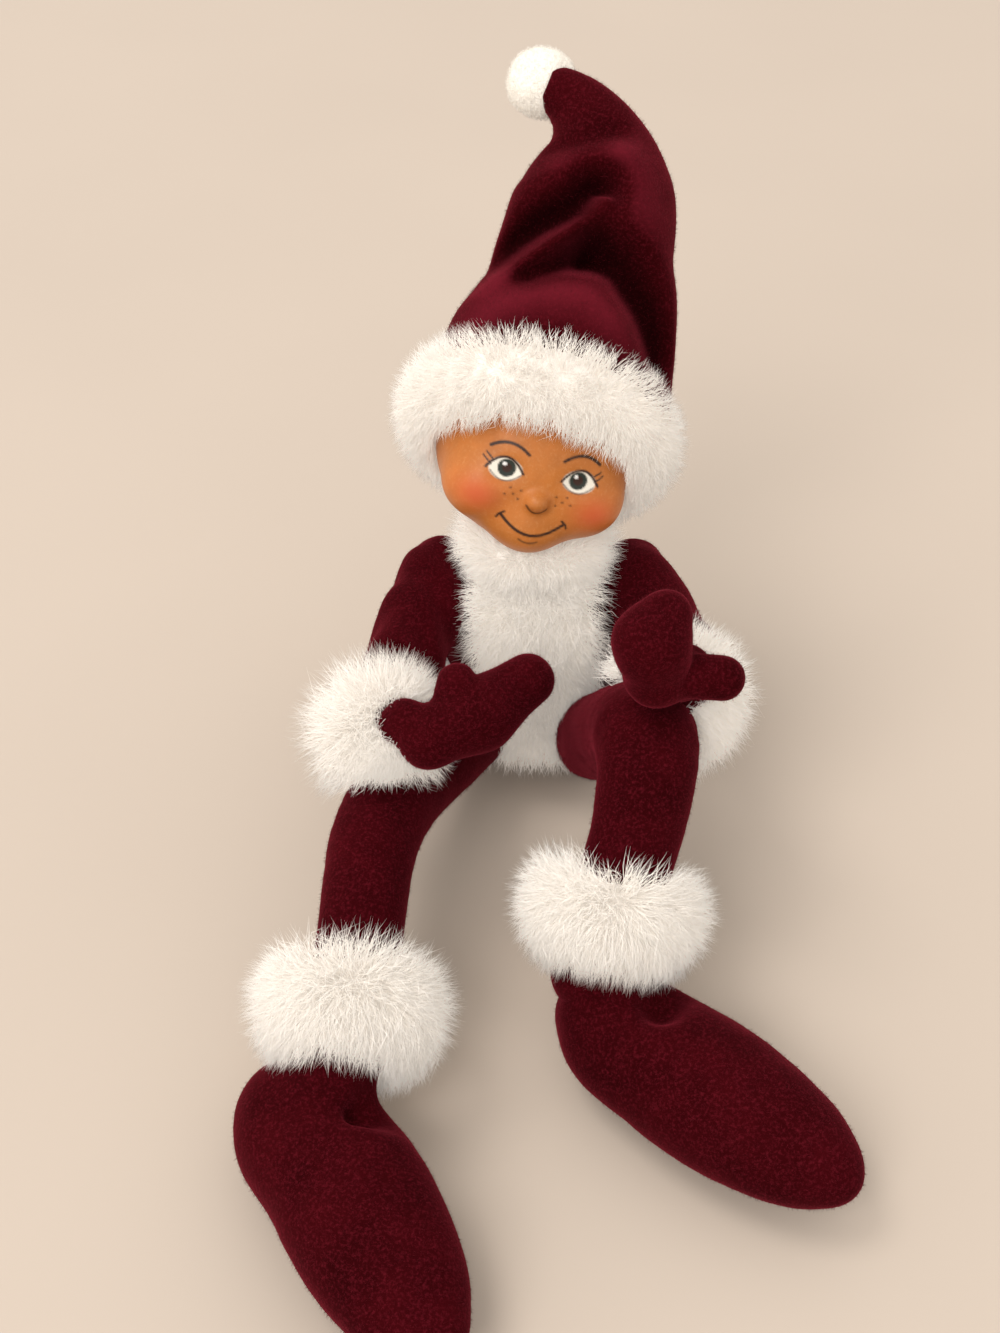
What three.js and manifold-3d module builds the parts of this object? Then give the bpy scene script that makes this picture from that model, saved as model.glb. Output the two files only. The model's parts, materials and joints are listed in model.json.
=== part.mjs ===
// A seated felt elf doll on a bendable wire frame, in millimetres.
// +Z is up, the doll faces -Y and its right side is at -X. The origin lies on the
// floor under the seat. Each limb hangs in a group whose origin is its joint, with
// +Z along the limb and +X along the hinge.
import * as THREE from "three";
import { mergeVertices } from "three/addons/utils/BufferGeometryUtils.js";
import Module from "manifold-3d";

const wasm = await Module();
wasm.setup();

// Cloth, wire and the gaps between pieces
const FELT = 1.4;
const FIT = 0.3;
const JOINT_GAP = 0.4;
const WIRE_RADIUS = 0.9;
const WIRE_CLEARANCE = 0.4;
const FUR_CORE = 5.5;

// Torso
const TORSO_HEIGHT = 62;
const TORSO_WIDTH = 60;
const TORSO_DEPTH = 48;
const NECK_RADIUS = 8.5;
const NECK_RISE = 6;
const HIP_SPREAD = 30;
const HIP_FORWARD = 14;
const HIP_HEIGHT = 15;
const HIP_RADIUS = 10.8;
const SHOULDER_SPREAD = 61;
const SHOULDER_HEIGHT = TORSO_HEIGHT - 6;
const SHOULDER_RADIUS = 9.6;

// Limbs
const THIGH_LENGTH = 73;
const THIGH_RADIUS = 11.6;
const KNEE_RADIUS = 12.2;
const SHIN_LENGTH = 63;
const SHIN_RADIUS = 12.0;
const KNEE_FOLD = { right: 45, left: 20 };
const ANKLE_RADIUS = 9.5;
const ANKLE_HEIGHT = 23;
const BOOT_LENGTH = 84;
const BOOT_WIDTH = 36;
const BOOT_HEIGHT = 31;
const BOOT_HEEL = 12;
const SOLE_FLATNESS = 1.35;
const BOOT_OUTWARD = { right: 8.5, left: 1 };
const UPPER_ARM_LENGTH = 35;
const UPPER_ARM_RADIUS = 10.4;
const ELBOW_RADIUS = 9.6;
const FOREARM_LENGTH = 34.5;
const FOREARM_RADIUS = 8.8;
const WRIST_RADIUS = 7.4;
const MITTEN_LENGTH = 50;
const MITTEN_RADIUS = 9.2;
const THUMB_LENGTH = 15.5;
const THUMB_RADIUS = 6.2;

// Fur bands
const CUFF_RADIUS = 12.5;
const CUFF_WIDTH = 13;
const CUFF_START = 8;
const ANKLE_FUR_RADIUS = 16;
const ANKLE_FUR_WIDTH = 15;
const ANKLE_FUR_ABOVE = 9;
const BIB_WIDTH = 36;
const HEM_HEIGHT = 12;
const HEM_FLOOR = 28;
const COLLAR_RADIUS = 14.5;
const COLLAR_THICKNESS = 9;

// Head and hat
const HEAD_WIDTH = 51;
const HEAD_DEPTH = 46;
const HEAD_HEIGHT = 50;
const HEAD_ABOVE_NECK = 26.5;
const HEAD_ASIDE = -5.5;
const TRIM_RADIUS = 30;
const TRIM_THICKNESS = 13;
const TRIM_WIDTH = 19;
const HAT_BASE_RADIUS = 29;
const HAT_FOLD_RADIUS = 20;
const HAT_FOLD_HEIGHT = 44;
const HAT_TIP_LENGTH = 33;
const HAT_END_RADIUS = 4.2;
const POMPOM_RADIUS = 9.4;
const BRIM_DROP = 3;
const HAT_FOOT = 26;
const HAT_SWING = 25;

// The hat's main folds, on lines across and up its front: ridges stand out, hollows sink in
const CROWN_FOLDS = [
  { depth: -5.5, spread: 3.6, line: [[8, 27], [15, 26], [21, 20], [24, 11]] },
  { depth: -3, spread: 3.4, line: [[-17, 25], [-9, 26]] },
  { depth: 2.6, spread: 4.4, line: [[-26, 13], [-14, 18], [2, 19], [15, 13], [24, 5]] },
];
const TIP_FOLDS = [{ depth: -5, spread: 4.6, line: [[-14, 3], [-9, 5], [-2, 10]] }];

// The pose: heading is measured from straight ahead towards +X, rise from the level
const POSE = {
  right: {
    thigh: [-25, 22],
    shin: -4,
    boot: 28,
    upperArm: [-19, -6],
    forearm: [2, 16],
    mitten: [112, 0],
    thumb: 15,
  },
  left: {
    thigh: [10.5, 41.5],
    shin: -12,
    boot: 50,
    upperArm: [18, 0],
    forearm: [-3, 33],
    mitten: [-52, 52],
    thumb: 110,
  },
};
const HEAD_PITCH = 20;
const HEAD_ROLL = 13;
const HAT_TILT = 28;
const BRIM_TILT = 11;

// Colours of the cloths
const WINE = 0x5e141f;
const TAN = 0xc98244;
const CREAM = 0xefe7da;
const STUFFING = 0xf2efe8;
const STEEL = 0x8d8f92;

// Facets around each kind of piece
const LIMB_SIDES = 12;
const CORE_SIDES = 8;
const WIRE_SIDES = 6;
const BODY_SIDES = 16;
const HAT_SIDES = 24;
const TIP_SIDES = 20;
const BOOT_SIDES = 12;
const WIRE_BEYOND = 20;

const vec = (x, y, z) => new THREE.Vector3(x, y, z);
const rad = THREE.MathUtils.degToRad;

function solid(geometry) {
  const bare = new THREE.BufferGeometry();
  bare.setAttribute("position", geometry.getAttribute("position"));
  bare.setIndex(geometry.index);
  const joined = mergeVertices(bare, 1e-4);
  const corners = Array.from(joined.index.array);
  const kept = [];
  for (let i = 0; i < corners.length; i += 3) {
    const [a, b, c] = corners.slice(i, i + 3);
    if (a !== b && b !== c && c !== a) kept.push([a, b, c]);
  }
  const vertProperties = new Float32Array(joined.getAttribute("position").array);
  const make = (faces) =>
    new wasm.Manifold(
      new wasm.Mesh({ numProp: 3, vertProperties, triVerts: new Uint32Array(faces.flat()) })
    );
  const body = make(kept);
  return body.volume() > 0 ? body : make(kept.map(([a, b, c]) => [a, c, b]));
}

function shape(body) {
  const mesh = body.getMesh();
  const geometry = new THREE.BufferGeometry();
  const places = new Float32Array(mesh.vertProperties);
  geometry.setAttribute("position", new THREE.BufferAttribute(places, 3));
  geometry.setIndex(new THREE.BufferAttribute(new Uint32Array(mesh.triVerts), 1));
  geometry.computeVertexNormals();
  return geometry;
}

function less(body, tools) {
  return tools.reduce((left, tool) => left.subtract(tool), body);
}

// A piece turned about the Z axis; the profile is a list of [radius, height]
function revolve(profile, sides) {
  const points = profile.map(([r, z]) => new THREE.Vector2(Math.max(r, 0), z));
  return new THREE.LatheGeometry(points, sides).rotateX(Math.PI / 2);
}

function ball(radius, centre, sides = 12) {
  const geometry = new THREE.SphereGeometry(radius, sides, Math.round(sides * 0.7));
  return geometry.translate(centre.x, centre.y, centre.z);
}

// A hollow that clears a ball of the given radius although both have facets
const SOCKET_SCALE = 1.056;
function socket(radius, centre) {
  return solid(ball(radius * SOCKET_SCALE, centre));
}

function between(geometry, from, to) {
  const along = to.clone().sub(from).normalize();
  const turn = new THREE.Quaternion().setFromUnitVectors(vec(0, 0, 1), along);
  return geometry.applyQuaternion(turn).translate(from.x, from.y, from.z);
}

function rod(from, to, radius, sides) {
  const length = from.distanceTo(to);
  const flat = [
    [0, 0],
    [radius, 0],
    [radius, length],
    [0, length],
  ];
  return between(revolve(flat, sides), from, to);
}

function roundRod(from, to, radius, sides) {
  const length = from.distanceTo(to);
  const capsule = new THREE.CapsuleGeometry(radius, length, 1, sides);
  capsule.rotateX(Math.PI / 2).translate(0, 0, length / 2);
  return between(capsule, from, to);
}

// A wire bent through several points
function bentWire(points, radius) {
  const path = new THREE.CatmullRomCurve3(points, false, "centripetal");
  const ring = new THREE.Shape();
  ring.absarc(0, 0, radius, 0, 2 * Math.PI);
  return new THREE.ExtrudeGeometry(ring, {
    steps: 2 * (points.length - 1),
    curveSegments: WIRE_SIDES / 2,
    extrudePath: path,
    bevelEnabled: false,
  });
}

// Rings of equal count joined into a closed form, each end closed by a fan
function loft(rings) {
  const count = rings[0].length;
  const places = [];
  const faces = [];
  rings.forEach((ring) => ring.forEach((p) => places.push(p.x, p.y, p.z)));
  for (let r = 0; r + 1 < rings.length; r += 1) {
    for (let i = 0; i < count; i += 1) {
      const j = (i + 1) % count;
      const a = r * count + i;
      const b = r * count + j;
      faces.push(a, b, b + count, a, b + count, a + count);
    }
  }
  [0, rings.length - 1].forEach((r) => {
    const middle = rings[r].reduce((sum, p) => sum.add(p), vec(0, 0, 0)).divideScalar(count);
    const hub = places.length / 3;
    places.push(middle.x, middle.y, middle.z);
    for (let i = 0; i < count; i += 1) {
      const a = r * count + i;
      const b = r * count + ((i + 1) % count);
      faces.push(...(r === 0 ? [hub, b, a] : [hub, a, b]));
    }
  });
  const geometry = new THREE.BufferGeometry();
  geometry.setAttribute("position", new THREE.Float32BufferAttribute(places, 3));
  geometry.setIndex(faces);
  return geometry;
}

function ellipse(centre, halfX, halfY, sides) {
  const ring = [];
  for (let i = 0; i < sides; i += 1) {
    const turn = (2 * Math.PI * i) / sides;
    ring.push(vec(centre.x + halfX * Math.cos(turn), centre.y + halfY * Math.sin(turn), centre.z));
  }
  return ring;
}

// The outline of a limb that runs from a round end at 0 to a round end at its length
function limbProfile(length, start, middle, end, inset) {
  const first = start - inset;
  const swell = middle - inset;
  const last = end - inset;
  const profile = [[0, -first]];
  profile.push([first * Math.cos(rad(38)), -first * Math.sin(rad(38))]);
  profile.push([first, length * 0.14]);
  profile.push([swell, length * 0.5]);
  profile.push([(swell + last) / 2, length * 0.75]);
  [0, 45].forEach((turn) => {
    profile.push([last * Math.cos(rad(turn)), length + last * Math.sin(rad(turn))]);
  });
  profile.push([0, length + last]);
  return profile;
}

function limbSolid(length, start, middle, end, inset, sides) {
  return solid(revolve(limbProfile(length, start, middle, end, inset), sides));
}

// A felt skin and the stuffing inside it. The form and its cutters are given as
// functions of an inset, so that skin, stuffing and every hollow keep even walls.
function stuffed(form, cutters, holes, coreFits = 1.6) {
  const hollow = (inset) => cutters.map((cutter) => cutter(inset));
  const outside = less(form(0, LIMB_SIDES), hollow(0));
  const inside = less(form(FELT, LIMB_SIDES), hollow(FELT));
  const core = less(form(FELT + FIT * coreFits, CORE_SIDES), hollow(FELT + FIT));
  return {
    skin: less(outside, [inside, ...holes]),
    filling: less(core, holes),
  };
}

const cloths = {};
function cloth(name, color, roughness, metalness = 0) {
  cloths[name] ??= new THREE.MeshStandardMaterial({ name, color, roughness, metalness });
  return cloths[name];
}
const wineFelt = cloth("wine_felt", WINE, 0.95);
const tanFelt = cloth("tan_felt", TAN, 0.8);
const whiteFur = cloth("white_fur", CREAM, 1);
const stuffing = cloth("stuffing", STUFFING, 1);
const steel = cloth("steel_wire", STEEL, 0.45, 1);

const doll = new THREE.Group();
doll.name = "elf_doll";

function add(group, name, body, material) {
  const piece = new THREE.Mesh(body.isBufferGeometry ? body : shape(body), material);
  piece.name = name;
  group.add(piece);
  return piece;
}

function direction(heading, rise) {
  const level = Math.cos(rad(rise));
  const ahead = vec(Math.sin(rad(heading)) * level, -Math.cos(rad(heading)) * level, 0);
  return ahead.setZ(Math.sin(rad(rise)));
}

// The level axis about which a positive turn lifts a limb with this heading
function liftAxis(heading) {
  return vec(-Math.cos(rad(heading)), -Math.sin(rad(heading)), 0);
}

function facing(along, hinge) {
  const z = along.clone().normalize();
  const x = hinge.clone().addScaledVector(z, -hinge.dot(z)).normalize();
  const y = new THREE.Vector3().crossVectors(z, x);
  return new THREE.Quaternion().setFromRotationMatrix(new THREE.Matrix4().makeBasis(x, y, z));
}

// A group placed at a joint, given in the frame of the whole doll
function joint(parent, name, pivot, turn) {
  const group = new THREE.Group();
  group.name = name;
  parent.add(group);
  parent.updateWorldMatrix(true, false);
  const back = parent.getWorldQuaternion(new THREE.Quaternion()).invert();
  group.position.copy(parent.worldToLocal(pivot.clone()));
  group.quaternion.copy(back.multiply(turn));
  group.updateWorldMatrix(true, false);
  return group;
}

// A solid drawn in a joint's frame, moved into the frame of another group
function carried(geometry, from, to) {
  from.updateWorldMatrix(true, false);
  to.updateWorldMatrix(true, false);
  const there = to.matrixWorld.clone().invert().multiply(from.matrixWorld);
  return geometry.clone().applyMatrix4(there);
}

// A straight wire inside a limb; it starts outside the ball that the limb's cup holds
const WIRE_SHORT = WIRE_RADIUS + 0.4;
function limbWire(start, end) {
  return roundRod(vec(0, 0, start + WIRE_SHORT), vec(0, 0, end - WIRE_SHORT), WIRE_RADIUS, WIRE_SIDES);
}
function wireHole(from, to) {
  return solid(rod(from, to, WIRE_RADIUS + WIRE_CLEARANCE, WIRE_SIDES));
}

// A fur band around the Z axis: a swelling ring between two heights
function furRing(inner, outer, low, high, sides) {
  const middle = (low + high) / 2;
  const half = (high - low) / 2;
  const deep = outer - inner;
  const profile = [[inner, middle - half * 0.75]];
  [-70, -25, 25, 70].forEach((turn) => {
    const reach = inner + deep * (0.35 + 0.65 * Math.cos(rad(turn)));
    profile.push([reach, middle + (half * Math.sin(rad(turn))) / Math.sin(rad(70))]);
  });
  profile.push([inner, middle + half * 0.75]);
  profile.push([inner, middle - half * 0.75]);
  return revolve(profile, sides);
}

const sides = ["right", "left"];
const mirror = { right: -1, left: 1 };
const hips = {};
const shoulders = {};

// Legs
const legPivots = {};
sides.forEach((side) => {
  const pose = POSE[side];
  const hip = vec((mirror[side] * HIP_SPREAD) / 2, -HIP_FORWARD, HIP_HEIGHT);
  const thighAlong = direction(...pose.thigh);
  const knee = hip.clone().addScaledVector(thighAlong, THIGH_LENGTH);
  const drop = THREE.MathUtils.clamp((knee.z - ANKLE_HEIGHT) / SHIN_LENGTH, -0.9, 0.95);
  const shinAlong = direction(pose.shin, -THREE.MathUtils.radToDeg(Math.asin(drop)));
  const ankle = knee.clone().addScaledVector(shinAlong, SHIN_LENGTH);
  const kneeHinge = new THREE.Vector3().crossVectors(thighAlong, shinAlong);

  const thigh = joint(doll, `${side}_hip`, hip, facing(thighAlong, liftAxis(pose.thigh[0])));
  const shin = joint(thigh, `${side}_knee`, knee, facing(shinAlong, kneeHinge));
  const boot = joint(shin, `${side}_ankle`, ankle, facing(vec(0, 0, 1), liftAxis(pose.boot)));
  hips[side] = thigh;
  legPivots[side] = { hip, knee, ankle };

  const thighForm = (inset, around) =>
    limbSolid(THIGH_LENGTH, HIP_RADIUS, THIGH_RADIUS, KNEE_RADIUS, inset, around);
  const thighHole = wireHole(vec(0, 0, 0), vec(0, 0, THIGH_LENGTH + WIRE_BEYOND));
  const thighBody = stuffed(thighForm, [], [thighHole]);
  add(thigh, `${side}_thigh_felt`, thighBody.skin, wineFelt);
  add(thigh, `${side}_thigh_filling`, thighBody.filling, stuffing);
  add(thigh, `${side}_thigh_wire`, limbWire(0, THIGH_LENGTH + KNEE_RADIUS), steel);

  // The shin starts in a cup around the knee and is creased where it folds
  const shinForm = (inset, around) =>
    limbSolid(SHIN_LENGTH, KNEE_RADIUS - 0.6, SHIN_RADIUS, ANKLE_RADIUS, inset, around);
  const kneeCup = (inset) => socket(KNEE_RADIUS + JOINT_GAP + inset, vec(0, 0, 0));
  const creases = [0, 0.5, 1].map((part) => (inset) => {
    const turn = KNEE_FOLD[side] * part;
    const straight = thighAlong.clone().negate();
    const folded = straight.applyAxisAngle(kneeHinge.clone().normalize(), -rad(turn));
    const frame = shin.getWorldQuaternion(new THREE.Quaternion()).invert();
    const reach = folded.applyQuaternion(frame).multiplyScalar(THIGH_LENGTH * 0.6);
    return solid(rod(vec(0, 0, 0), reach, (KNEE_RADIUS + JOINT_GAP + inset) * 1.035, 12));
  });
  const shinHole = wireHole(vec(0, 0, 0), vec(0, 0, SHIN_LENGTH + WIRE_BEYOND));
  const shinBody = stuffed(shinForm, [kneeCup, ...creases], [shinHole]);
  add(shin, `${side}_shin_felt`, shinBody.skin, wineFelt);
  add(shin, `${side}_shin_filling`, shinBody.filling, stuffing);
  add(shin, `${side}_shin_wire`, limbWire(KNEE_RADIUS + JOINT_GAP, SHIN_LENGTH + ANKLE_RADIUS), steel);
  const furTop = SHIN_LENGTH - ANKLE_FUR_ABOVE;
  const furBand = solid(
    furRing(ANKLE_RADIUS - 2, ANKLE_FUR_RADIUS, furTop - ANKLE_FUR_WIDTH, furTop, 16)
  );
  add(shin, `${side}_ankle_fur`, less(furBand, [shinForm(-FIT, LIMB_SIDES)]), whiteFur);

  // The boot, its sole on the floor and its toe rounded
  const bootForm = (inset) => {
    const stations = [
      [0, 0.28, 0.36],
      [0.05, 0.58, 0.72],
      [0.18, 0.86, 0.94],
      [0.4, 1, 1],
      [0.65, 0.93, 0.96],
      [0.84, 0.7, 0.8],
      [0.95, 0.42, 0.52],
      [1, 0.16, 0.24],
    ];
    const rings = stations.map(([at, wide, tall]) => {
      const length = BOOT_LENGTH - 2 * inset;
      const ahead = BOOT_HEEL - inset - length * at;
      const half = Math.max((BOOT_WIDTH / 2) * wide - inset, 0.6);
      const high = Math.max(BOOT_HEIGHT * tall - 2 * inset, 1.2);
      const low = -ANKLE_HEIGHT + inset;
      const lift = (1 - wide) * 8;
      const ring = [];
      for (let i = 0; i < BOOT_SIDES; i += 1) {
        const turn = (2 * Math.PI * i) / BOOT_SIDES;
        const level = Math.sin(turn) < 0 ? Math.sin(turn) * SOLE_FLATNESS : Math.sin(turn);
        const up = low + lift + ((high - lift * 0.6) * (1 + level)) / 2;
        const across = -half * Math.cos(turn) + mirror[side] * BOOT_OUTWARD[side];
        ring.push(vec(across, ahead, Math.max(up, low)));
      }
      return ring;
    });
    return solid(loft(rings));
  };
  // The boot's frame has its hinge along +X, so its toe points to +Y there
  const toToe = new THREE.Matrix4().makeRotationZ(Math.PI);
  const shinBack = shinAlong.clone().negate();
  const bootTurn = boot.getWorldQuaternion(new THREE.Quaternion()).invert();
  const shinInBoot = shinBack.applyQuaternion(bootTurn);
  const ankleCup = (inset) => socket(ANKLE_RADIUS + JOINT_GAP + inset, vec(0, 0, 0));
  const shinRoom = [-18, 0, 18].map((turn) => (inset) => {
    const up = shinInBoot.clone().applyAxisAngle(vec(1, 0, 0), rad(turn));
    const neckRadius = ANKLE_RADIUS + JOINT_GAP + 0.8 + inset;
    const start = ANKLE_FUR_ABOVE - 1.2 - inset;
    const room = [
      [0, 0],
      [neckRadius, 0],
      [neckRadius, start],
      [ANKLE_FUR_RADIUS + 6, start],
      [ANKLE_FUR_RADIUS + 6, 60],
      [0, 60],
    ];
    return solid(between(revolve(room, 12), vec(0, 0, 0), up));
  });
  const bootHole = wireHole(vec(0, 0, 0), vec(0, BOOT_LENGTH * 0.45, -9));
  const bootTurned = (inset) => {
    const body = shape(bootForm(inset)).applyMatrix4(toToe);
    return solid(body);
  };
  const bootBody = stuffed(bootTurned, [ankleCup, ...shinRoom], [bootHole]);
  add(boot, `${side}_boot_felt`, bootBody.skin, wineFelt);
  add(boot, `${side}_boot_filling`, bootBody.filling, stuffing);
  const toes = vec(0, BOOT_LENGTH * 0.45, -9);
  const bootWire = limbWire(ANKLE_RADIUS + JOINT_GAP, toes.length() - 3);
  between(bootWire, vec(0, 0, 0), toes);
  add(boot, `${side}_boot_wire`, bootWire, steel);
});

// Arms
sides.forEach((side) => {
  const pose = POSE[side];
  const out = mirror[side];
  const shoulder = vec((out * SHOULDER_SPREAD) / 2, 2, SHOULDER_HEIGHT);
  const upperAlong = direction(...pose.upperArm);
  const elbow = shoulder.clone().addScaledVector(upperAlong, UPPER_ARM_LENGTH);
  const foreAlong = direction(...pose.forearm);
  const wrist = elbow.clone().addScaledVector(foreAlong, FOREARM_LENGTH);
  const handAlong = direction(...pose.mitten);
  const wristHinge = new THREE.Vector3().crossVectors(foreAlong, handAlong);

  const upperArm = joint(
    doll,
    `${side}_shoulder`,
    shoulder,
    facing(upperAlong, liftAxis(pose.upperArm[0]))
  );
  const forearm = joint(upperArm, `${side}_elbow`, elbow, facing(foreAlong, vec(0, 0, out)));
  const hand = joint(forearm, `${side}_wrist`, wrist, facing(handAlong, wristHinge));
  shoulders[side] = upperArm;

  const upperForm = (inset, around) =>
    limbSolid(
      UPPER_ARM_LENGTH,
      SHOULDER_RADIUS,
      UPPER_ARM_RADIUS,
      ELBOW_RADIUS,
      inset,
      around
    );
  const upperHole = wireHole(vec(0, 0, 0), vec(0, 0, UPPER_ARM_LENGTH + WIRE_BEYOND));
  const upperBody = stuffed(upperForm, [], [upperHole]);
  add(upperArm, `${side}_upper_arm_felt`, upperBody.skin, wineFelt);
  add(upperArm, `${side}_upper_arm_filling`, upperBody.filling, stuffing);
  add(upperArm, `${side}_upper_arm_wire`, limbWire(0, UPPER_ARM_LENGTH + ELBOW_RADIUS), steel);

  const foreForm = (inset, around) =>
    limbSolid(
      FOREARM_LENGTH,
      ELBOW_RADIUS - 0.8,
      FOREARM_RADIUS,
      WRIST_RADIUS,
      inset,
      around
    );
  const elbowCup = (inset) => socket(ELBOW_RADIUS + JOINT_GAP + inset, vec(0, 0, 0));
  const upperRoom = [0, 30, 55].map((turn) => (inset) => {
    const frame = forearm.getWorldQuaternion(new THREE.Quaternion()).invert();
    const reach = upperAlong.clone().negate().applyQuaternion(frame);
    reach.applyAxisAngle(vec(1, 0, 0), -rad(turn)).multiplyScalar(UPPER_ARM_LENGTH * 0.6);
    return solid(rod(vec(0, 0, 0), reach, (ELBOW_RADIUS + JOINT_GAP + inset) * 1.035, 12));
  });
  const foreHole = wireHole(vec(0, 0, 0), vec(0, 0, FOREARM_LENGTH + 20));
  const foreBody = stuffed(foreForm, [elbowCup, upperRoom[0]], [foreHole]);
  add(forearm, `${side}_forearm_felt`, foreBody.skin, wineFelt);
  add(forearm, `${side}_forearm_filling`, foreBody.filling, stuffing);
  add(forearm, `${side}_forearm_wire`, limbWire(ELBOW_RADIUS + JOINT_GAP, FOREARM_LENGTH + WRIST_RADIUS), steel);
  const cuffRing = solid(
    furRing(WRIST_RADIUS - 2, CUFF_RADIUS, CUFF_START, CUFF_START + CUFF_WIDTH, 16)
  );
  const cuffRoom = upperRoom.map((room) => room(0));
  const cuffCut = [foreForm(-FIT, LIMB_SIDES), elbowCup(FELT + FIT), ...cuffRoom];
  add(forearm, `${side}_cuff_fur`, less(cuffRing, cuffCut), whiteFur);

  // The mitten: one bag for the fingers and one for the thumb
  const reach = MITTEN_LENGTH - MITTEN_RADIUS;
  const handForm = (inset, around) => {
    const fingers = limbSolid(
      reach,
      WRIST_RADIUS - 0.2,
      MITTEN_RADIUS * 1.06,
      MITTEN_RADIUS * 0.94,
      inset,
      around
    );
    const lean = vec(Math.cos(rad(pose.thumb)), Math.sin(rad(pose.thumb)), 0);
    const root = vec(0, 0, reach * 0.22);
    const tip = root.clone().addScaledVector(lean, THUMB_LENGTH);
    tip.z += THUMB_LENGTH * 0.35;
    const long = root.distanceTo(tip);
    const thumb = revolve(
      limbProfile(long, THUMB_RADIUS * 0.9, THUMB_RADIUS, THUMB_RADIUS, inset),
      around
    );
    return fingers.add(solid(between(thumb, root, tip)));
  };
  const wristCup = (inset) => socket(WRIST_RADIUS + JOINT_GAP + inset, vec(0, 0, 0));
  const foreInHand = foreAlong
    .clone()
    .negate()
    .applyQuaternion(hand.getWorldQuaternion(new THREE.Quaternion()).invert());
  const foreRoom = (inset) =>
    solid(
      rod(
        vec(0, 0, 0),
        foreInHand.clone().multiplyScalar(FOREARM_LENGTH),
        (WRIST_RADIUS + JOINT_GAP + 0.4 + inset) * 1.035,
        12
      )
    );
  const handHole = wireHole(vec(0, 0, 0), vec(0, 0, reach - 3));
  const handBody = stuffed(handForm, [wristCup, foreRoom], [handHole]);
  add(hand, `${side}_mitten_felt`, handBody.skin, wineFelt);
  add(hand, `${side}_mitten_filling`, handBody.filling, stuffing);
  const handWire = limbWire(WRIST_RADIUS + JOINT_GAP, reach - 3);
  add(hand, `${side}_mitten_wire`, handWire, steel);
});

// Torso: a pear with a flat seat and a short neck, hollowed where the limbs enter
const neckPivot = vec(0, 1, TORSO_HEIGHT + NECK_RISE);
function torsoForm(inset, around = BODY_SIDES) {
  const stations = [
    [0, 0.8, 0.8, 0],
    [0.12, 0.97, 0.97, 0],
    [0.35, 1.0, 1.0, 0],
    [0.68, 0.94, 0.85, 0.5],
    [0.88, 0.82, 0.68, 1],
    [0.96, 0.62, 0.54, 1],
    [1, 0.36, 0.4, 1],
  ];
  const count = around === CORE_SIDES ? 12 : BODY_SIDES;
  const rings = stations.map(([at, wide, deep, back]) =>
    ellipse(
      vec(0, back, inset + (TORSO_HEIGHT - 2 * inset) * at),
      Math.max((TORSO_WIDTH / 2) * wide - inset, 2),
      Math.max((TORSO_DEPTH / 2) * deep - inset, 2),
      count
    )
  );
  const neck = ball(NECK_RADIUS - inset, neckPivot);
  const low = vec(neckPivot.x, neckPivot.y, TORSO_HEIGHT * 0.8);
  const stub = rod(low, neckPivot, NECK_RADIUS * 0.93 - inset, 14);
  return solid(loft(rings)).add(solid(neck)).add(solid(stub));
}
// The hollow under the belly in which the thighs turn, drawn from the side
const hipTrough = (inset) => {
  const radius = (HIP_RADIUS + JOINT_GAP + inset) * 1.02;
  const outline = new THREE.Shape();
  outline.moveTo(-TORSO_DEPTH, -HIP_HEIGHT);
  outline.lineTo(-HIP_FORWARD + radius, -HIP_HEIGHT);
  outline.lineTo(-HIP_FORWARD + radius, HIP_HEIGHT);
  outline.absarc(-HIP_FORWARD, HIP_HEIGHT, radius, 0, Math.PI / 2, false);
  outline.lineTo(-TORSO_DEPTH, HIP_HEIGHT + radius);
  const trough = new THREE.ExtrudeGeometry(outline, {
    depth: 2 * TORSO_WIDTH,
    curveSegments: 5,
    bevelEnabled: false,
  });
  trough.translate(0, 0, -TORSO_WIDTH).rotateY(Math.PI / 2).rotateX(Math.PI / 2);
  return solid(trough);
};
const legRoom = sides.map((side) => (inset) => {
  const room = limbProfile(THIGH_LENGTH, HIP_RADIUS, THIGH_RADIUS, KNEE_RADIUS, -0.7 - inset);
  return solid(carried(revolve(room, 12), hips[side], doll));
});
const armRoom = sides.map((side) => (inset) => {
  const room = ball((SHOULDER_RADIUS + JOINT_GAP + inset) * SOCKET_SCALE, vec(0, 0, 0));
  const sleeve = revolve(
    limbProfile(
      UPPER_ARM_LENGTH,
      SHOULDER_RADIUS,
      UPPER_ARM_RADIUS,
      ELBOW_RADIUS,
      -0.8 - inset
    ),
    12
  );
  const both = solid(carried(room, shoulders[side], doll));
  return both.add(solid(carried(sleeve, shoulders[side], doll)));
});
const hipStart = HIP_RADIUS + JOINT_GAP + 1.2;
const hipRise = HIP_HEIGHT + 6;
const hipWirePoints = [
  vec(-HIP_SPREAD / 2, -HIP_FORWARD + hipStart, HIP_HEIGHT),
  vec(-HIP_SPREAD * 0.3, 0, hipRise - 2),
  vec(0, 1, hipRise),
  vec(HIP_SPREAD * 0.3, 0, hipRise - 2),
  vec(HIP_SPREAD / 2, -HIP_FORWARD + hipStart, HIP_HEIGHT),
];
const shoulderStart = SHOULDER_SPREAD / 2 - SHOULDER_RADIUS - JOINT_GAP - 1;
const shoulderWirePoints = [
  vec(-shoulderStart, 2, SHOULDER_HEIGHT - 4),
  vec(-shoulderStart / 2, 3.5, SHOULDER_HEIGHT - 7),
  vec(0, 1 + 2 * WIRE_RADIUS + 0.5, SHOULDER_HEIGHT - 8),
  vec(shoulderStart / 2, 3.5, SHOULDER_HEIGHT - 7),
  vec(shoulderStart, 2, SHOULDER_HEIGHT - 4),
];
const spineFoot = vec(0, 1, hipRise + 2 * WIRE_RADIUS + 0.5);
const spineTop = vec(0, 1, neckPivot.z + NECK_RADIUS - WIRE_SHORT);
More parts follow.
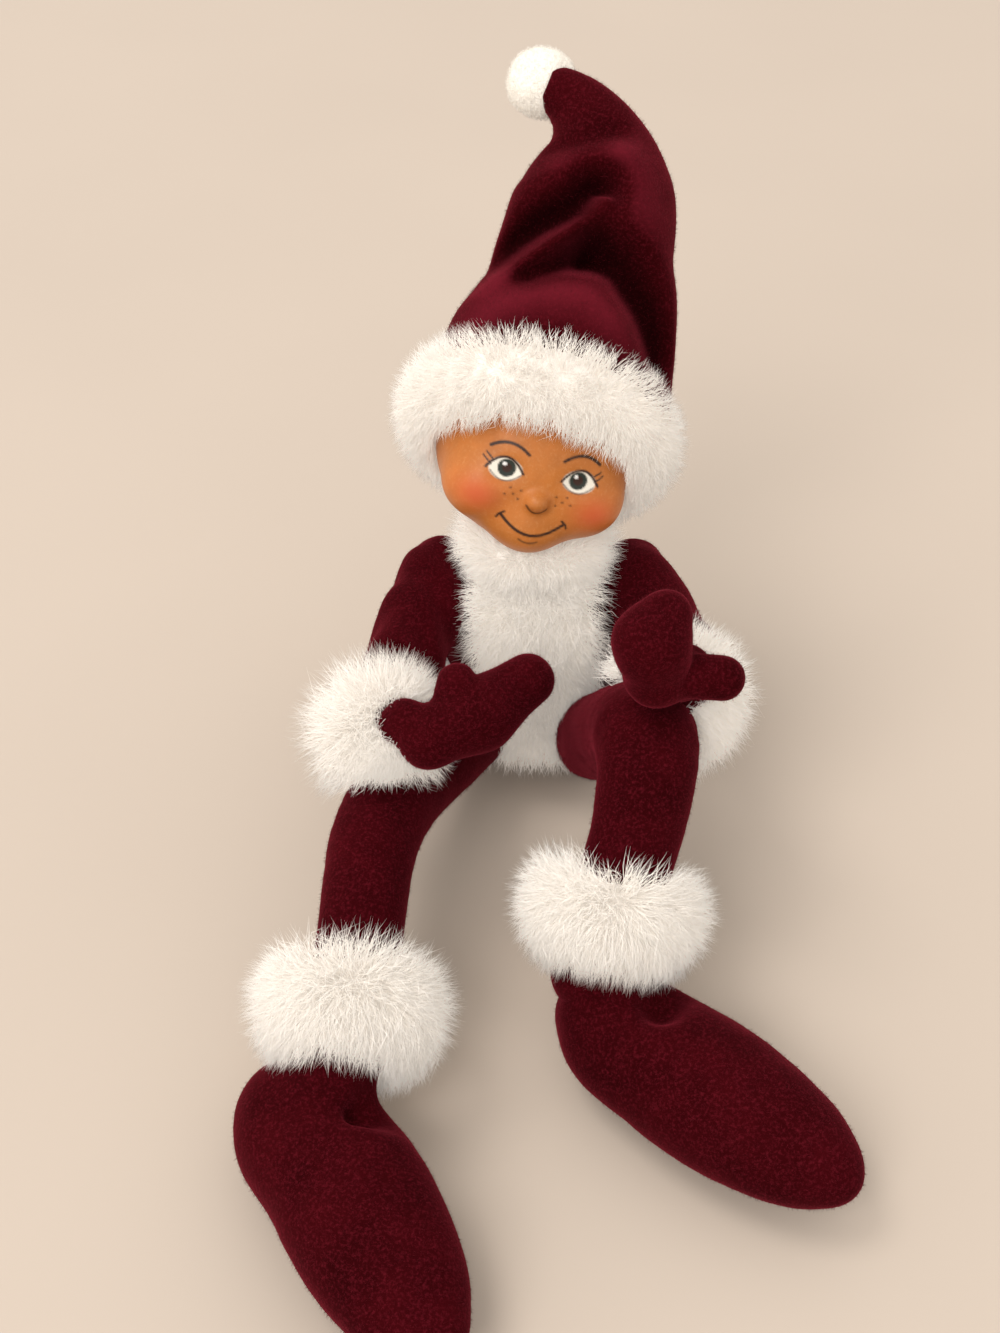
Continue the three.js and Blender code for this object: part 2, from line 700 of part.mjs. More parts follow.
const channel = WIRE_RADIUS + WIRE_CLEARANCE;
const torsoHoles = [
  solid(bentWire(hipWirePoints, channel)),
  solid(bentWire(shoulderWirePoints, channel)),
  wireHole(spineFoot.clone().setZ(spineFoot.z - 4), vec(0, 1, neckPivot.z + 20)),
];
const torsoBody = stuffed(torsoForm, [hipTrough, ...legRoom, ...armRoom], torsoHoles, 3);
add(doll, "torso_felt", torsoBody.skin, wineFelt);
add(doll, "torso_filling", torsoBody.filling, stuffing);
add(doll, "hip_wire", bentWire(hipWirePoints, WIRE_RADIUS), steel);
add(doll, "shoulder_wire", bentWire(shoulderWirePoints, WIRE_RADIUS), steel);
add(doll, "spine_wire", roundRod(spineFoot, spineTop, WIRE_RADIUS, WIRE_SIDES), steel);

// Fur on the jacket: a front band, a hem and a collar, all lying on the torso
const jacketFur = torsoForm(-FUR_CORE).subtract(torsoForm(-FIT));
const limbRoom = [...legRoom, ...armRoom].map((room) => room(0.6));
function slab(halfX, fromY, toY, low, high) {
  const block = new THREE.BoxGeometry(2 * halfX, toY - fromY, high - low);
  return solid(block.translate(0, (fromY + toY) / 2, (low + high) / 2));
}
const collarLow = TORSO_HEIGHT - 5;
const bibTop = TORSO_HEIGHT * 0.86;
const bibBlock = slab(BIB_WIDTH / 2, -TORSO_DEPTH, -4, HEM_FLOOR, bibTop);
const bib = less(jacketFur.intersect(bibBlock), limbRoom);
add(doll, "chest_fur", bib, whiteFur);
const hemBlock = slab(TORSO_WIDTH, -TORSO_DEPTH, TORSO_DEPTH, HEM_FLOOR, HEM_FLOOR + HEM_HEIGHT);
const bibGap = slab(BIB_WIDTH / 2 + FIT, -TORSO_DEPTH, -4, 0, TORSO_HEIGHT * 2);
const hem = less(jacketFur.intersect(hemBlock), [bibGap, ...limbRoom]);
add(doll, "hem_fur", hem, whiteFur);
const collarRing = furRing(
  COLLAR_RADIUS - 6,
  COLLAR_RADIUS + COLLAR_THICKNESS / 2,
  collarLow - 1,
  collarLow + COLLAR_THICKNESS,
  BODY_SIDES
).translate(0, 1, 0);
add(doll, "collar_fur", less(solid(collarRing), [torsoForm(-FIT), ...limbRoom]), whiteFur);

// Head: turns on the wire of the neck, leans back and to the side
const lean = new THREE.Quaternion().setFromEuler(
  new THREE.Euler(rad(-HEAD_PITCH), rad(HEAD_ROLL), 0, "YXZ")
);
const neck = joint(doll, "neck_nod", neckPivot, lean);
const head = joint(neck, "head_turn", neckPivot, lean);
const neckWire = roundRod(
  vec(0, 0, NECK_RADIUS + JOINT_GAP + WIRE_SHORT),
  vec(0, 0, HEAD_ABOVE_NECK + 6),
  WIRE_RADIUS,
  WIRE_SIDES
);
add(neck, "neck_wire", neckWire, steel);
const headCentre = vec(HEAD_ASIDE, -2, HEAD_ABOVE_NECK);
function headForm(inset, around = BODY_SIDES) {
  const count = around === CORE_SIDES ? 12 : BODY_SIDES;
  const geometry = new THREE.SphereGeometry(1, count, Math.round(count * 0.6));
  geometry.rotateX(Math.PI / 2);
  const places = geometry.getAttribute("position");
  for (let i = 0; i < places.count; i += 1) {
    const low = Math.max(-places.getZ(i), 0);
    const narrow = 1 - 0.2 * low * low;
    places.setXYZ(
      i,
      places.getX(i) * (HEAD_WIDTH / 2 - inset) * narrow,
      places.getY(i) * (HEAD_DEPTH / 2 - inset) * (1 - 0.08 * low),
      places.getZ(i) * (HEAD_HEIGHT / 2 - inset)
    );
  }
  return solid(geometry.translate(headCentre.x, headCentre.y, headCentre.z));
}
const neckCup = (inset) => socket(NECK_RADIUS + JOINT_GAP + inset, vec(0, 0, 0));
const headHole = wireHole(vec(0, 0, 0), vec(0, 0, HEAD_ABOVE_NECK + 8));
const headBody = stuffed(headForm, [neckCup], [headHole], 3);
add(head, "head_felt", headBody.skin, tanFelt);
add(head, "head_filling", headBody.filling, stuffing);

// Hat: a folded crown in a fur band, and a tip that flops about the crown's fold
const hatTurn = head
  .getWorldQuaternion(new THREE.Quaternion())
  .multiply(new THREE.Quaternion().setFromEuler(new THREE.Euler(rad(-HAT_TILT), 0, 0)));
const hatSeat = head.localToWorld(vec(HEAD_ASIDE - 1, 1, HEAD_ABOVE_NECK + HEAD_HEIGHT * 0.24));
const hat = joint(head, "hat", hatSeat, hatTurn);
const foldPivot = vec(-0.5, -HAT_FOLD_HEIGHT * 0.26, HAT_FOLD_HEIGHT);
const tip = joint(hat, "hat_flop", hat.localToWorld(foldPivot.clone()), hatTurn);

// How far the folds move a place on the front of the hat, at an angle round it
function foldPush(folds, x, z, turn) {
  const front = THREE.MathUtils.smoothstep(-Math.sin(turn), 0.1, 0.65);
  let push = 0;
  folds.forEach(({ depth, spread, line }) => {
    let gap = Infinity;
    for (let i = 0; i + 1 < line.length; i += 1) {
      const part = new THREE.Line3(vec(line[i][0], line[i][1], 0), vec(line[i + 1][0], line[i + 1][1], 0));
      const near = part.closestPointToPoint(vec(x, z, 0), true, vec(0, 0, 0));
      gap = Math.min(gap, near.distanceTo(vec(x, z, 0)));
    }
    push += depth * Math.exp(-0.5 * (gap / spread) ** 2);
  });
  return push * front;
}
function crownForm(inset, grow = 0) {
  const rings = [];
  const steps = 8;
  for (let step = 0; step <= steps; step += 1) {
    const at = step / steps;
    const wide = THREE.MathUtils.lerp(HAT_BASE_RADIUS, HAT_FOLD_RADIUS + 2.4, at ** 0.8);
    const height = HAT_FOLD_HEIGHT * at * 1.02;
    const slant = Math.max(1 - at * 1.7, 0);
    const ring = [];
    for (let i = 0; i < HAT_SIDES; i += 1) {
      const turn = (2 * Math.PI * i) / HAT_SIDES;
      const reach = wide - inset + grow;
      const x = foldPivot.x * at + reach * Math.cos(turn);
      const lean = foldPivot.y * at + (BRIM_DROP / 2) * slant;
      const push = foldPush(CROWN_FOLDS, x, height, turn);
      const drop = (reach * Math.sin(turn) * Math.tan(rad(BRIM_TILT)) + BRIM_DROP) * slant;
      ring.push(vec(x, lean + reach * Math.sin(turn) - push, height - drop));
    }
    rings.push(ring);
  }
  return rings;
}
function extended(rings, below, above) {
  const first = rings[0].map((p) => vec(p.x, p.y, p.z - below));
  const last = rings[rings.length - 1].map((p) => vec(p.x, p.y, p.z + above));
  return [...(below > 0 ? [first] : []), ...rings, ...(above > 0 ? [last] : [])];
}
const headInHat = solid(carried(shape(headForm(-FIT)), head, hat));
const crown = solid(loft(crownForm(0))).subtract(solid(loft(extended(crownForm(FELT), 4, 4))));
// The room that the tip's round foot sweeps as it flops: a ball without its underside
const swing = rad(HAT_SWING);
const footLow = HAT_FOLD_RADIUS * Math.sin(rad(HAT_FOOT)) + JOINT_GAP;
const wedgeSide = HAT_FOLD_RADIUS * 2;
const wedgeTop = -footLow / Math.cos(swing);
const wedgeEdge = wedgeTop - wedgeSide * Math.tan(swing);
const underside = new THREE.Shape([
  new THREE.Vector2(0, wedgeTop),
  new THREE.Vector2(-wedgeSide, wedgeEdge),
  new THREE.Vector2(-wedgeSide, -3 * wedgeSide),
  new THREE.Vector2(wedgeSide, -3 * wedgeSide),
  new THREE.Vector2(wedgeSide, wedgeEdge),
]);
const wedge = new THREE.ExtrudeGeometry(underside, { depth: 2 * wedgeSide, bevelEnabled: false })
  .rotateX(Math.PI / 2)
  .translate(foldPivot.x, foldPivot.y + wedgeSide, foldPivot.z);
const foldRoom = socket(HAT_FOLD_RADIUS + JOINT_GAP, foldPivot).subtract(solid(wedge));
add(hat, "hat_crown", less(crown, [foldRoom, headInHat]), wineFelt);
const band = solid(
  furRing(
    TRIM_RADIUS - TRIM_THICKNESS * 0.6,
    TRIM_RADIUS + TRIM_THICKNESS / 2,
    -TRIM_WIDTH / 2,
    TRIM_WIDTH / 2,
    HAT_SIDES
  )
    .rotateX(rad(-BRIM_TILT))
    .translate(-1.5, BRIM_DROP / 2, -BRIM_DROP)
);
const crownRoom = solid(loft(extended(crownForm(0, 2 * FIT), 1, 0)));
add(hat, "hat_band_fur", less(band, [headInHat, crownRoom]), whiteFur);

function tipForm(inset) {
  const radius = HAT_FOLD_RADIUS - inset;
  const rings = [];
  [-HAT_FOOT, -HAT_FOOT / 2, 0].forEach((turn) => {
    const high = radius * Math.sin(rad(turn));
    const round = radius * Math.cos(rad(turn));
    rings.push(ellipse(vec(0, 0, high), round, round, TIP_SIDES));
  });
  const bends = [
    [0.1, 0.98, 0, 0],
    [0.18, 0.96, 0, 0],
    [0.28, 0.9, 0.3, -0.015],
    [0.38, 0.84, 0.5, -0.03],
    [0.6, 0.66, 0.4, -0.06],
    [0.8, 0.46, -1.5, -0.08],
    [0.94, 0.3, -5, -0.09],
    [1, 0.22, -8.5, -0.1],
  ];
  bends.forEach(([at, wide, aside, ahead]) => {
    const grown = Math.max(HAT_FOLD_RADIUS * wide - inset, HAT_END_RADIUS - inset);
    const flat = 1 - 0.12 * Math.sin(Math.PI * at);
    const high = (HAT_TIP_LENGTH - Math.max(inset, 0) * 1.5) * at;
    const centre = vec(aside, ahead * HAT_TIP_LENGTH, high);
    const ring = ellipse(centre, grown, grown * flat, TIP_SIDES);
    ring.forEach((place, i) => {
      place.y -= foldPush(TIP_FOLDS, place.x, high, (2 * Math.PI * i) / TIP_SIDES);
    });
    rings.push(ring);
  });
  return rings;
}
const tipShell = solid(loft(tipForm(0))).subtract(solid(loft(extended(tipForm(FELT), 6, 0))));
add(tip, "hat_tip", tipShell, wineFelt);
const pompomSeat = vec(-16, 0.06 * HAT_TIP_LENGTH, HAT_TIP_LENGTH + POMPOM_RADIUS * 0.28);
const pompom = solid(ball(POMPOM_RADIUS, pompomSeat, 14));
add(tip, "pompom", less(pompom, [solid(loft(tipForm(-3 * FIT)))]), whiteFur);

export default doll;
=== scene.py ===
import json
import math

import bpy
import numpy as np
from mathutils import Euler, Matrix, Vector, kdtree
from numpy.linalg import norm


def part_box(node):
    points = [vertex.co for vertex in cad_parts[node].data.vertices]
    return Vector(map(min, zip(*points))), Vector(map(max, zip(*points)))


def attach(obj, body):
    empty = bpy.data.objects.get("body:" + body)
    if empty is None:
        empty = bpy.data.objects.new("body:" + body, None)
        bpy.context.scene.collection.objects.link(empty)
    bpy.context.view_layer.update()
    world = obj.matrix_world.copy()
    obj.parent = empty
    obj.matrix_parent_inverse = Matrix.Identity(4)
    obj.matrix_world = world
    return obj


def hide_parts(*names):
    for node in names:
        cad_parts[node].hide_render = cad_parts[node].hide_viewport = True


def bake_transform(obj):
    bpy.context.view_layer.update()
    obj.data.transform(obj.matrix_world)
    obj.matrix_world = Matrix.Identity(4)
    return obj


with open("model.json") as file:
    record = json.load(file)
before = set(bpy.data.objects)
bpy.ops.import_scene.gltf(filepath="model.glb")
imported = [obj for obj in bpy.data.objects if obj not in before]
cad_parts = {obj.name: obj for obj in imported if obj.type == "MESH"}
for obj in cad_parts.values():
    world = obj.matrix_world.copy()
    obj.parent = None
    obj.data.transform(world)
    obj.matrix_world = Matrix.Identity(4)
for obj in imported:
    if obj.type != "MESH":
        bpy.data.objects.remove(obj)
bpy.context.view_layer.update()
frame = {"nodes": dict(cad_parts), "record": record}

MM = 0.001
UP = np.array([0.0, 0.0, 1.0])
SIDEWAYS = np.array([1.0, 0.0, 0.0])
INWARD = np.array([0.0, 1.0, 0.0])

# Sizes in millimetres, colours as linear red, green and blue
LEG_RADIUS = {"right": 11.0, "left": 12.6}
SLEEVE_RADIUS = 10.4
WIRE_RADIUS = 0.9
WIRE_SIDES = 8
BOOT_LENGTH = 84.0
BOOT_WIDTH = 35.5
BOOT_HEIGHT = 31.0
BOOT_HEEL = 12.0
HEEL_HEIGHT = 13.0
SEAM_HEIGHT = 7.5
SEAM_TOP = 14
SEAM_WIDTH = 1.3
SEAM_DEPTH = 0.55
FLOOR_LIFT = 0.05
FELT_STEP = 1.1
FACE_STEP = 0.4
MITTEN_STEP = 1.0
POMPOM_STEP = 0.8
PILE_SHARE = 1.0
# FUR_GLOW is emission on the fur and wool: painted light that lifts the hairs in shade
FUR_GLOW = 0.15
WINE = (0.042, 0.0014, 0.0030)
WINE_DARK = (0.021, 0.0006, 0.0013)
WINE_FIBRE = (0.155, 0.010, 0.020)
# Painted light for the hat's folds: a painted highlight colour for the ridges, then a painted shade
# colour for the hollows
WINE_LIT = (0.165, 0.012, 0.023)
WINE_HOLLOW_SHADE = (0.006, 0.0002, 0.0004)
TAN = (0.55, 0.178, 0.033)
BLUSH = (0.56, 0.10, 0.03)
INK = (0.035, 0.012, 0.006)
EYE_WHITE = (0.80, 0.76, 0.66)
IRIS = (0.020, 0.028, 0.022)
FUR = (0.93, 0.885, 0.83)
FUR_ROOT = (0.88, 0.835, 0.775)
WOOL = (0.88, 0.835, 0.76)
FLOOR = (0.545, 0.465, 0.395)
FLECK = (0.62, 0.33, 0.13)
GLINT = (0.9, 0.9, 0.88)
PAINTS = {"blush": BLUSH, "white": EYE_WHITE, "iris": IRIS, "ink": INK, "glint": GLINT}

# Height and size of the lumps in each stuffed form, coarse ones first
LEG_LUMPS = ((0.30, 13.0), (0.12, 5.0))
BOOT_LUMPS = ((0.35, 15.0), (0.12, 5.0))
JACKET_LUMPS = ((0.4, 12.0), (0.15, 5.0))
SLEEVE_LUMPS = ((0.6, 12.0), (0.15, 4.5))
MITTEN_LUMPS = ((0.28, 9.0), (0.12, 4.0))
HEAD_LUMPS = ((0.2, 9.0),)

# Felt nap: how its fibres stand, lie and spread, their sizes, and how many to a square millimetre
NAP_RISE = 0.75
NAP_LEAN = 0.45
NAP_SPREAD = 0.55
NAP_LENGTH = (0.5, 1.25)
NAP_WIDTH = 0.045
NAP_SINK = 0.15
NAP_BEND = 0.1
NAP_DENSITY = 1.6
MITTEN_DENSITY = 2.2
HAT_NAP_LEAN = 0.4
HAT_NAP_LENGTH = (0.5, 1.3)
HAT_DENSITY = 1.8

# Fur: how hairs vary, how the pile is stroked, and where a hair is cut short
FUR_SHORTEST = 0.55
FUR_VARIETY = 0.62
FUR_SKEW = (2.2, 1.5)
FUR_STROKE = 0.42
FUR_STROKE_SIZE = 6.5
FUR_SINK = 0.5
FUR_WIDTHS = (0.75, 1.25)
HAIR_MIDDLE = 0.55
HAIR_TAPER = 0.45
CUT_PLACES = (0.3, 0.65, 1.0)
CUT_SHARE = 0.2
FLOOR_GAP = 0.6
LEAST_SHARE = 0.1
RING_WRAP = 1.85

# Light and camera: metres, watts, degrees, and millimetres for the lens
LIGHTS = (("key", (-1.4, 0.3, 3.1), (1.0, 0.955, 0.90)), ("fill", (-1.0, -1.6, 1.9), (1.0, 0.965, 0.93)))
LIGHT_AIM = (0, -0.06, 0.05)
LIGHT_SIZE = 1.4
LIGHT_POWER = 27.0
SKY_COLOUR = (1.0, 0.96, 0.91, 1)
SKY_STRENGTH = 1.04
CAMERA_PLACE = (-0.0116, -0.355, 0.3646)
CAMERA_PITCH = 46.0
SENSOR_HEIGHT = 36.0
LENS_LENGTH = 45.9

JOINTS = {j["name"]: j for j in frame["record"]["behaviour"]["joints"]}


def pivot(name):
    return np.array(JOINTS[name]["pos_m"]) / MM


def pivots(side, *names):
    return [pivot(side + "_" + name) for name in names]


def hinge(name):
    return np.array(JOINTS[name]["axis"])


def unit(v):
    v = np.asarray(v, float)
    return v / norm(v, axis=-1, keepdims=True)


def middle(node):
    low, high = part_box(node)
    return np.add(low, high) / 2 / MM


def heading(degrees):
    """The way an angle points: 0 is towards the front, positive to the doll's left."""
    turn = math.radians(degrees)
    return np.array([math.sin(turn), -math.cos(turn), 0.0])


def lumps(points, size, seed):
    """Smooth noise from -1 to 1 whose lumps are about size across."""
    grid = 24
    table = np.random.default_rng(seed).uniform(-1, 1, (grid, grid, grid))
    q = points / size
    cell = np.floor(q).astype(int)
    f = q - cell
    f = f * f * (3 - 2 * f)
    total = np.zeros(len(points))
    for corner in np.ndindex(2, 2, 2):
        share = np.prod(np.where(corner, f, 1 - f), axis=1)
        i = (cell + np.array(corner)) % grid
        total += share * table[i[:, 0], i[:, 1], i[:, 2]]
    return total


def uneven(d, p, seed, layers):
    """A form's field d at the places p, with layers of lumps on it."""
    for i, (height, size) in enumerate(layers):
        d = d - height * lumps(p, size, seed + i)
    return d


# Distance fields: negative inside the stuffed form
def limb(p, a, b, ra, rb):
    ab = b - a
    t = np.clip(((p - a) @ ab) / (ab @ ab), 0, 1)
    return norm(p - a - t[:, None] * ab, axis=1) - (ra + (rb - ra) * t)


def egg(p, centre, axes, radii):
    q = ((p - centre) @ np.asarray(axes).T) / radii
    far = norm(q, axis=1)
    slope = norm(q / radii, axis=1)
    return far * (far - 1) / np.maximum(slope, 1e-9)


def join(a, b, soft):
    h = np.clip(0.5 + 0.5 * (b - a) / soft, 0, 1)
    return b + (a - b) * h - soft * h * (1 - h)


def carve(a, b, soft):
    return -join(-a, b, soft)


def rounded(points, soft, count=18):
    """A polyline with its corners rounded over about soft millimetres."""
    points = np.asarray(points, float)
    steps = norm(np.diff(points, axis=0), axis=1)
    along = np.concatenate([[0], np.cumsum(steps)])
    fine = 121
    s = np.linspace(0, along[-1], fine)
    line = np.stack([np.interp(s, along, points[:, i]) for i in range(3)], 1)
    weight = np.exp(-0.5 * ((s[:, None] - s[None]) / soft) ** 2)
    edge = np.minimum(s, along[-1] - s)
    keep = np.clip(edge / (2 * soft), 0, 1)[:, None]
    smooth = (weight @ line) / weight.sum(1, keepdims=True)
    line = line + (smooth - line) * keep
    pick = np.linspace(0, fine - 1, count).round().astype(int)
    return line[pick], s[pick] / along[-1]


def path_field(p, line, radii):
    d = limb(p, line[0], line[1], radii[0], radii[1])
    for i in range(1, len(line) - 1):
        d = np.minimum(d, limb(p, line[i], line[i + 1], radii[i], radii[i + 1]))
    return d


def slope_of(field, points, reach=0.05):
    out = np.zeros_like(points)
    for i in range(3):
        shift = np.zeros(3)
        shift[i] = reach
        out[:, i] = (field(points + shift) - field(points - shift)) / (2 * reach)
    return out


def skin(field, low, high, step):
    """The closed skin of a distance field, as points and four-sided faces."""
    low = np.asarray(low, float)
    axes = [np.arange(low[i], high[i] + step, step) for i in range(3)]
    shape = tuple(len(a) for a in axes)
    grid = np.stack(np.meshgrid(*axes, indexing="ij"), -1).reshape(-1, 3)
    value = field(grid).reshape(shape)
    inside = value < 0
    corners = np.array(list(np.ndindex(2, 2, 2)))

    def corner(array, c):
        return array[c[0]:shape[0] - 1 + c[0], c[1]:shape[1] - 1 + c[1], c[2]:shape[2] - 1 + c[2]]

    count = sum(corner(inside, c).astype(int) for c in corners)
    active = (count > 0) & (count < 8)
    number = np.full(active.shape, -1)
    number[active] = np.arange(active.sum())
    cells = np.argwhere(active)
    total = np.zeros((len(cells), 3))
    hits = np.zeros(len(cells))
    for a in corners:
        for b in corners:
            if (b - a).sum() != 1 or np.abs(b - a).sum() != 1:
                continue
            va = value[tuple((cells + a).T)]
            vb = value[tuple((cells + b).T)]
            cross = (va < 0) != (vb < 0)
            t = np.where(cross, va / np.where(cross, va - vb, 1), 0)
            total += np.where(cross[:, None], a + t[:, None] * (b - a), 0)
            hits += cross
    points = low + step * (cells + total / hits[:, None])
    faces = []
    for axis in range(3):
        u, v = (axis + 1) % 3, (axis + 2) % 3
        here = [slice(None)] * 3
        there = [slice(None)] * 3
        here[axis], there[axis] = slice(0, -1), slice(1, None)
        change = inside[tuple(here)] != inside[tuple(there)]
        node = np.argwhere(change)
        fits = (node[:, u] > 0) & (node[:, v] > 0)
        fits &= (node[:, u] < shape[u] - 1) & (node[:, v] < shape[v] - 1)
        node = node[fits]
        ring = []
        for du, dv in ((1, 1), (0, 1), (0, 0), (1, 0)):
            cell = node.copy()
            cell[:, u] -= du
            cell[:, v] -= dv
            ring.append(number[tuple(cell.T)])
        quad = np.stack(ring, 1)
        flip = ~inside[tuple(node.T)]
        quad[flip] = quad[flip][:, ::-1]
        faces.append(quad)
    faces = np.concatenate(faces)
    for turn in range(3):
        points = relax(points, faces, 0.5)
        for again in range(2):
            slope = slope_of(field, points)
            move = field(points)[:, None] * slope / np.maximum((slope ** 2).sum(1, keepdims=True), 0.2)
            points = points - np.clip(move, -step, step)
    return points, faces


def relax(points, faces, share):
    total = np.zeros_like(points)
    count = np.zeros(len(points))
    for i in range(4):
        for j in (1, 3):
            np.add.at(total, faces[:, i], points[faces[:, (i + j) % 4]])
            np.add.at(count, faces[:, i], 1)
    return points + share * (total / np.maximum(count, 1)[:, None] - points)


def normals_of(points, faces):
    a, b, c, d = (points[faces[:, i]] for i in range(4))
    face = np.cross(c - a, d - b)
    out = np.zeros_like(points)
    for i in range(4):
        np.add.at(out, faces[:, i], face)
    return unit(out + 1e-12)


def scatter(points, faces, count, rng):
    """Random places on four-sided faces, even over the area, with the face normals."""
    tris = np.concatenate([faces[:, [0, 1, 2]], faces[:, [0, 2, 3]]])
    a, b, c = (points[tris[:, i]] for i in range(3))
    cross = np.cross(b - a, c - a)
    area = norm(cross, axis=1)
    pick = rng.choice(len(tris), count, p=area / area.sum())
    r, s = np.sqrt(rng.random(count)), rng.random(count)
    place = (1 - r)[:, None] * a[pick] + (r * (1 - s))[:, None] * b[pick] + (r * s)[:, None] * c[pick]
    return place, unit(cross[pick] + 1e-12)


def area_of(points, faces):
    a, b, c, d = (points[faces[:, i]] for i in range(4))
    return 0.5 * norm(np.cross(c - a, d - b), axis=1).sum()


def grid_faces(rows, columns, rows_close=False, columns_close=False):
    """Four-sided faces between neighbouring rows and columns of a grid of points."""
    i = np.arange(rows if rows_close else rows - 1)[:, None]
    k = np.arange(columns if columns_close else columns - 1)[None]
    low, high = i * columns, (i + 1) % rows * columns
    after = (k + 1) % columns
    return np.stack([low + k, low + after, high + after, high + k], -1).reshape(-1, 4)


def strands(root, way, length, width, rng, bend=0.18, rings=2):
    """Tapered three-sided hairs: their points and their sets of faces."""
    n = len(root)
    across = unit(np.cross(way, unit(rng.normal(size=(n, 3)))))
    other = np.cross(way, across)
    bow = across * (rng.normal(size=n) * bend * length)[:, None]
    spots = []
    levels = (0.0, HAIR_MIDDLE)[:rings]
    for t in levels:
        centre = root + way * (length * t)[:, None] + bow * (4 * t * (1 - t))
        for k in range(3):
            turn = 2 * math.pi * k / 3
            spoke = across * math.cos(turn) + other * math.sin(turn)
            spots.append(centre + spoke * (width * (1 - HAIR_TAPER * t))[:, None])
    spots.append(root + way * length[:, None])
    points = np.stack(spots, 1).reshape(-1, 3)
    first = np.arange(n)[:, None] * len(spots)
    quads = np.zeros((0, 4), int)
    if rings == 2:
        sides = [np.array([[k, (k + 1) % 3, 3 + (k + 1) % 3, 3 + k]]) for k in range(3)]
        quads = np.concatenate([first + side for side in sides])
    last = 3 * (rings - 1)
    tips = [first + np.array([[last + k, last + (k + 1) % 3, last + 3]]) for k in range(3)]
    return points, [quads, np.concatenate(tips)]


def mesh_piece(name, groups, materials):
    """One object from groups of points and faces: each group has its own material number."""
    points, loops, starts, slots, offset, at = [], [], [], [], 0, 0
    for group_points, face_sets, number in groups:
        points.append(group_points)
        for faces in face_sets:
            if not len(faces):
                continue
            size = faces.shape[1]
            loops.append((faces + offset).ravel())
            starts.append(at + size * np.arange(len(faces)))
            slots.append(np.full(len(faces), number))
            at += size * len(faces)
        offset += len(group_points)
    points = np.concatenate(points) * MM
    loops, starts, slots = map(np.concatenate, (loops, starts, slots))
    mesh = bpy.data.meshes.new(name)
    mesh.vertices.add(len(points))
    mesh.vertices.foreach_set("co", points.astype(np.float32).ravel())
    mesh.loops.add(len(loops))
    mesh.loops.foreach_set("vertex_index", loops.astype(np.int32))
    mesh.polygons.add(len(starts))
    mesh.polygons.foreach_set("loop_start", starts.astype(np.int32))
    mesh.polygons.foreach_set("material_index", slots.astype(np.int32))
    mesh.polygons.foreach_set("use_smooth", np.ones(len(starts), bool))
    mesh.update(calc_edges=True)
    mesh.validate()
    for finish in materials:
        mesh.materials.append(finish)
    piece = bpy.data.objects.new(name, mesh)
    bpy.context.scene.collection.objects.link(piece)
    return piece


def paint(piece, layers):
    """Masks on a piece's first points. Its other points stay bare."""
    for name, tone in layers.items():
        value = np.zeros(len(piece.data.vertices), np.float32)
        value[:len(tone)] = tone
        layer = piece.data.attributes.new(name, "FLOAT", "POINT")
        layer.data.foreach_set("value", value)


# Materials
def material(name, colour, roughness, settings):
    """A new material, its node tree and its shader. Settings are more inputs of the shader."""
    m = bpy.data.materials.new(name)
    m.use_nodes = True
    shader = m.node_tree.nodes["Principled BSDF"]
    inputs = {"Base Color": (*colour, 1), "Roughness": roughness, "Specular IOR Level": 0.25}
    for key, value in {**inputs, **settings}.items():
        shader.inputs[key].default_value = value
    return m, m.node_tree, shader


def tint(tree, shader, colour):
    tree.links.new(colour, shader.inputs["Base Color"])


# Emission in the hair's own colour: painted light standing in for light scattered among the hairs
def glow(colour):
    return {"Emission Color": (*colour, 1), "Emission Strength": FUR_GLOW}


def noise(tree, size, detail=3.0, rough=0.6):
    """Noise in the object's own coordinates with grains of about size millimetres."""
    place = tree.nodes.new("ShaderNodeTexCoord")
    node = tree.nodes.new("ShaderNodeTexNoise")
    node.inputs["Scale"].default_value = 1000 / size
    node.inputs["Detail"].default_value = detail
    node.inputs["Roughness"].default_value = rough
    tree.links.new(place.outputs["Object"], node.inputs["Vector"])
    return node.outputs["Fac"]


def mask(tree, layer):
    node = tree.nodes.new("ShaderNodeAttribute")
    node.attribute_name = layer
    return node.outputs["Fac"]


def by_hair(tree):
    """A random number for each hair."""
    return tree.nodes.new("ShaderNodeNewGeometry").outputs["Random Per Island"]


def ramp(tree, source, low, high, first, second):
    node = tree.nodes.new("ShaderNodeValToRGB")
    node.color_ramp.elements[0].position = low
    node.color_ramp.elements[1].position = high
    node.color_ramp.elements[0].color = (*first, 1)
    node.color_ramp.elements[1].color = (*second, 1)
    tree.links.new(source, node.inputs["Fac"])
    return node.outputs["Color"]


def mix(tree, share, first, second):
    node = tree.nodes.new("ShaderNodeMix")
    node.data_type = "RGBA"
    for value, socket in ((share, node.inputs[0]), (first, node.inputs[6]), (second, node.inputs[7])):
        if isinstance(value, bpy.types.NodeSocket):
            tree.links.new(value, socket)
        else:
            socket.default_value = (*value, 1)
    return node.outputs[2]


def bump(tree, shader, source, strength, distance):
    node = tree.nodes.new("ShaderNodeBump")
    node.inputs["Strength"].default_value = strength
    node.inputs["Distance"].default_value = distance * MM
    tree.links.new(source, node.inputs["Height"])
    tree.links.new(node.outputs["Normal"], shader.inputs["Normal"])


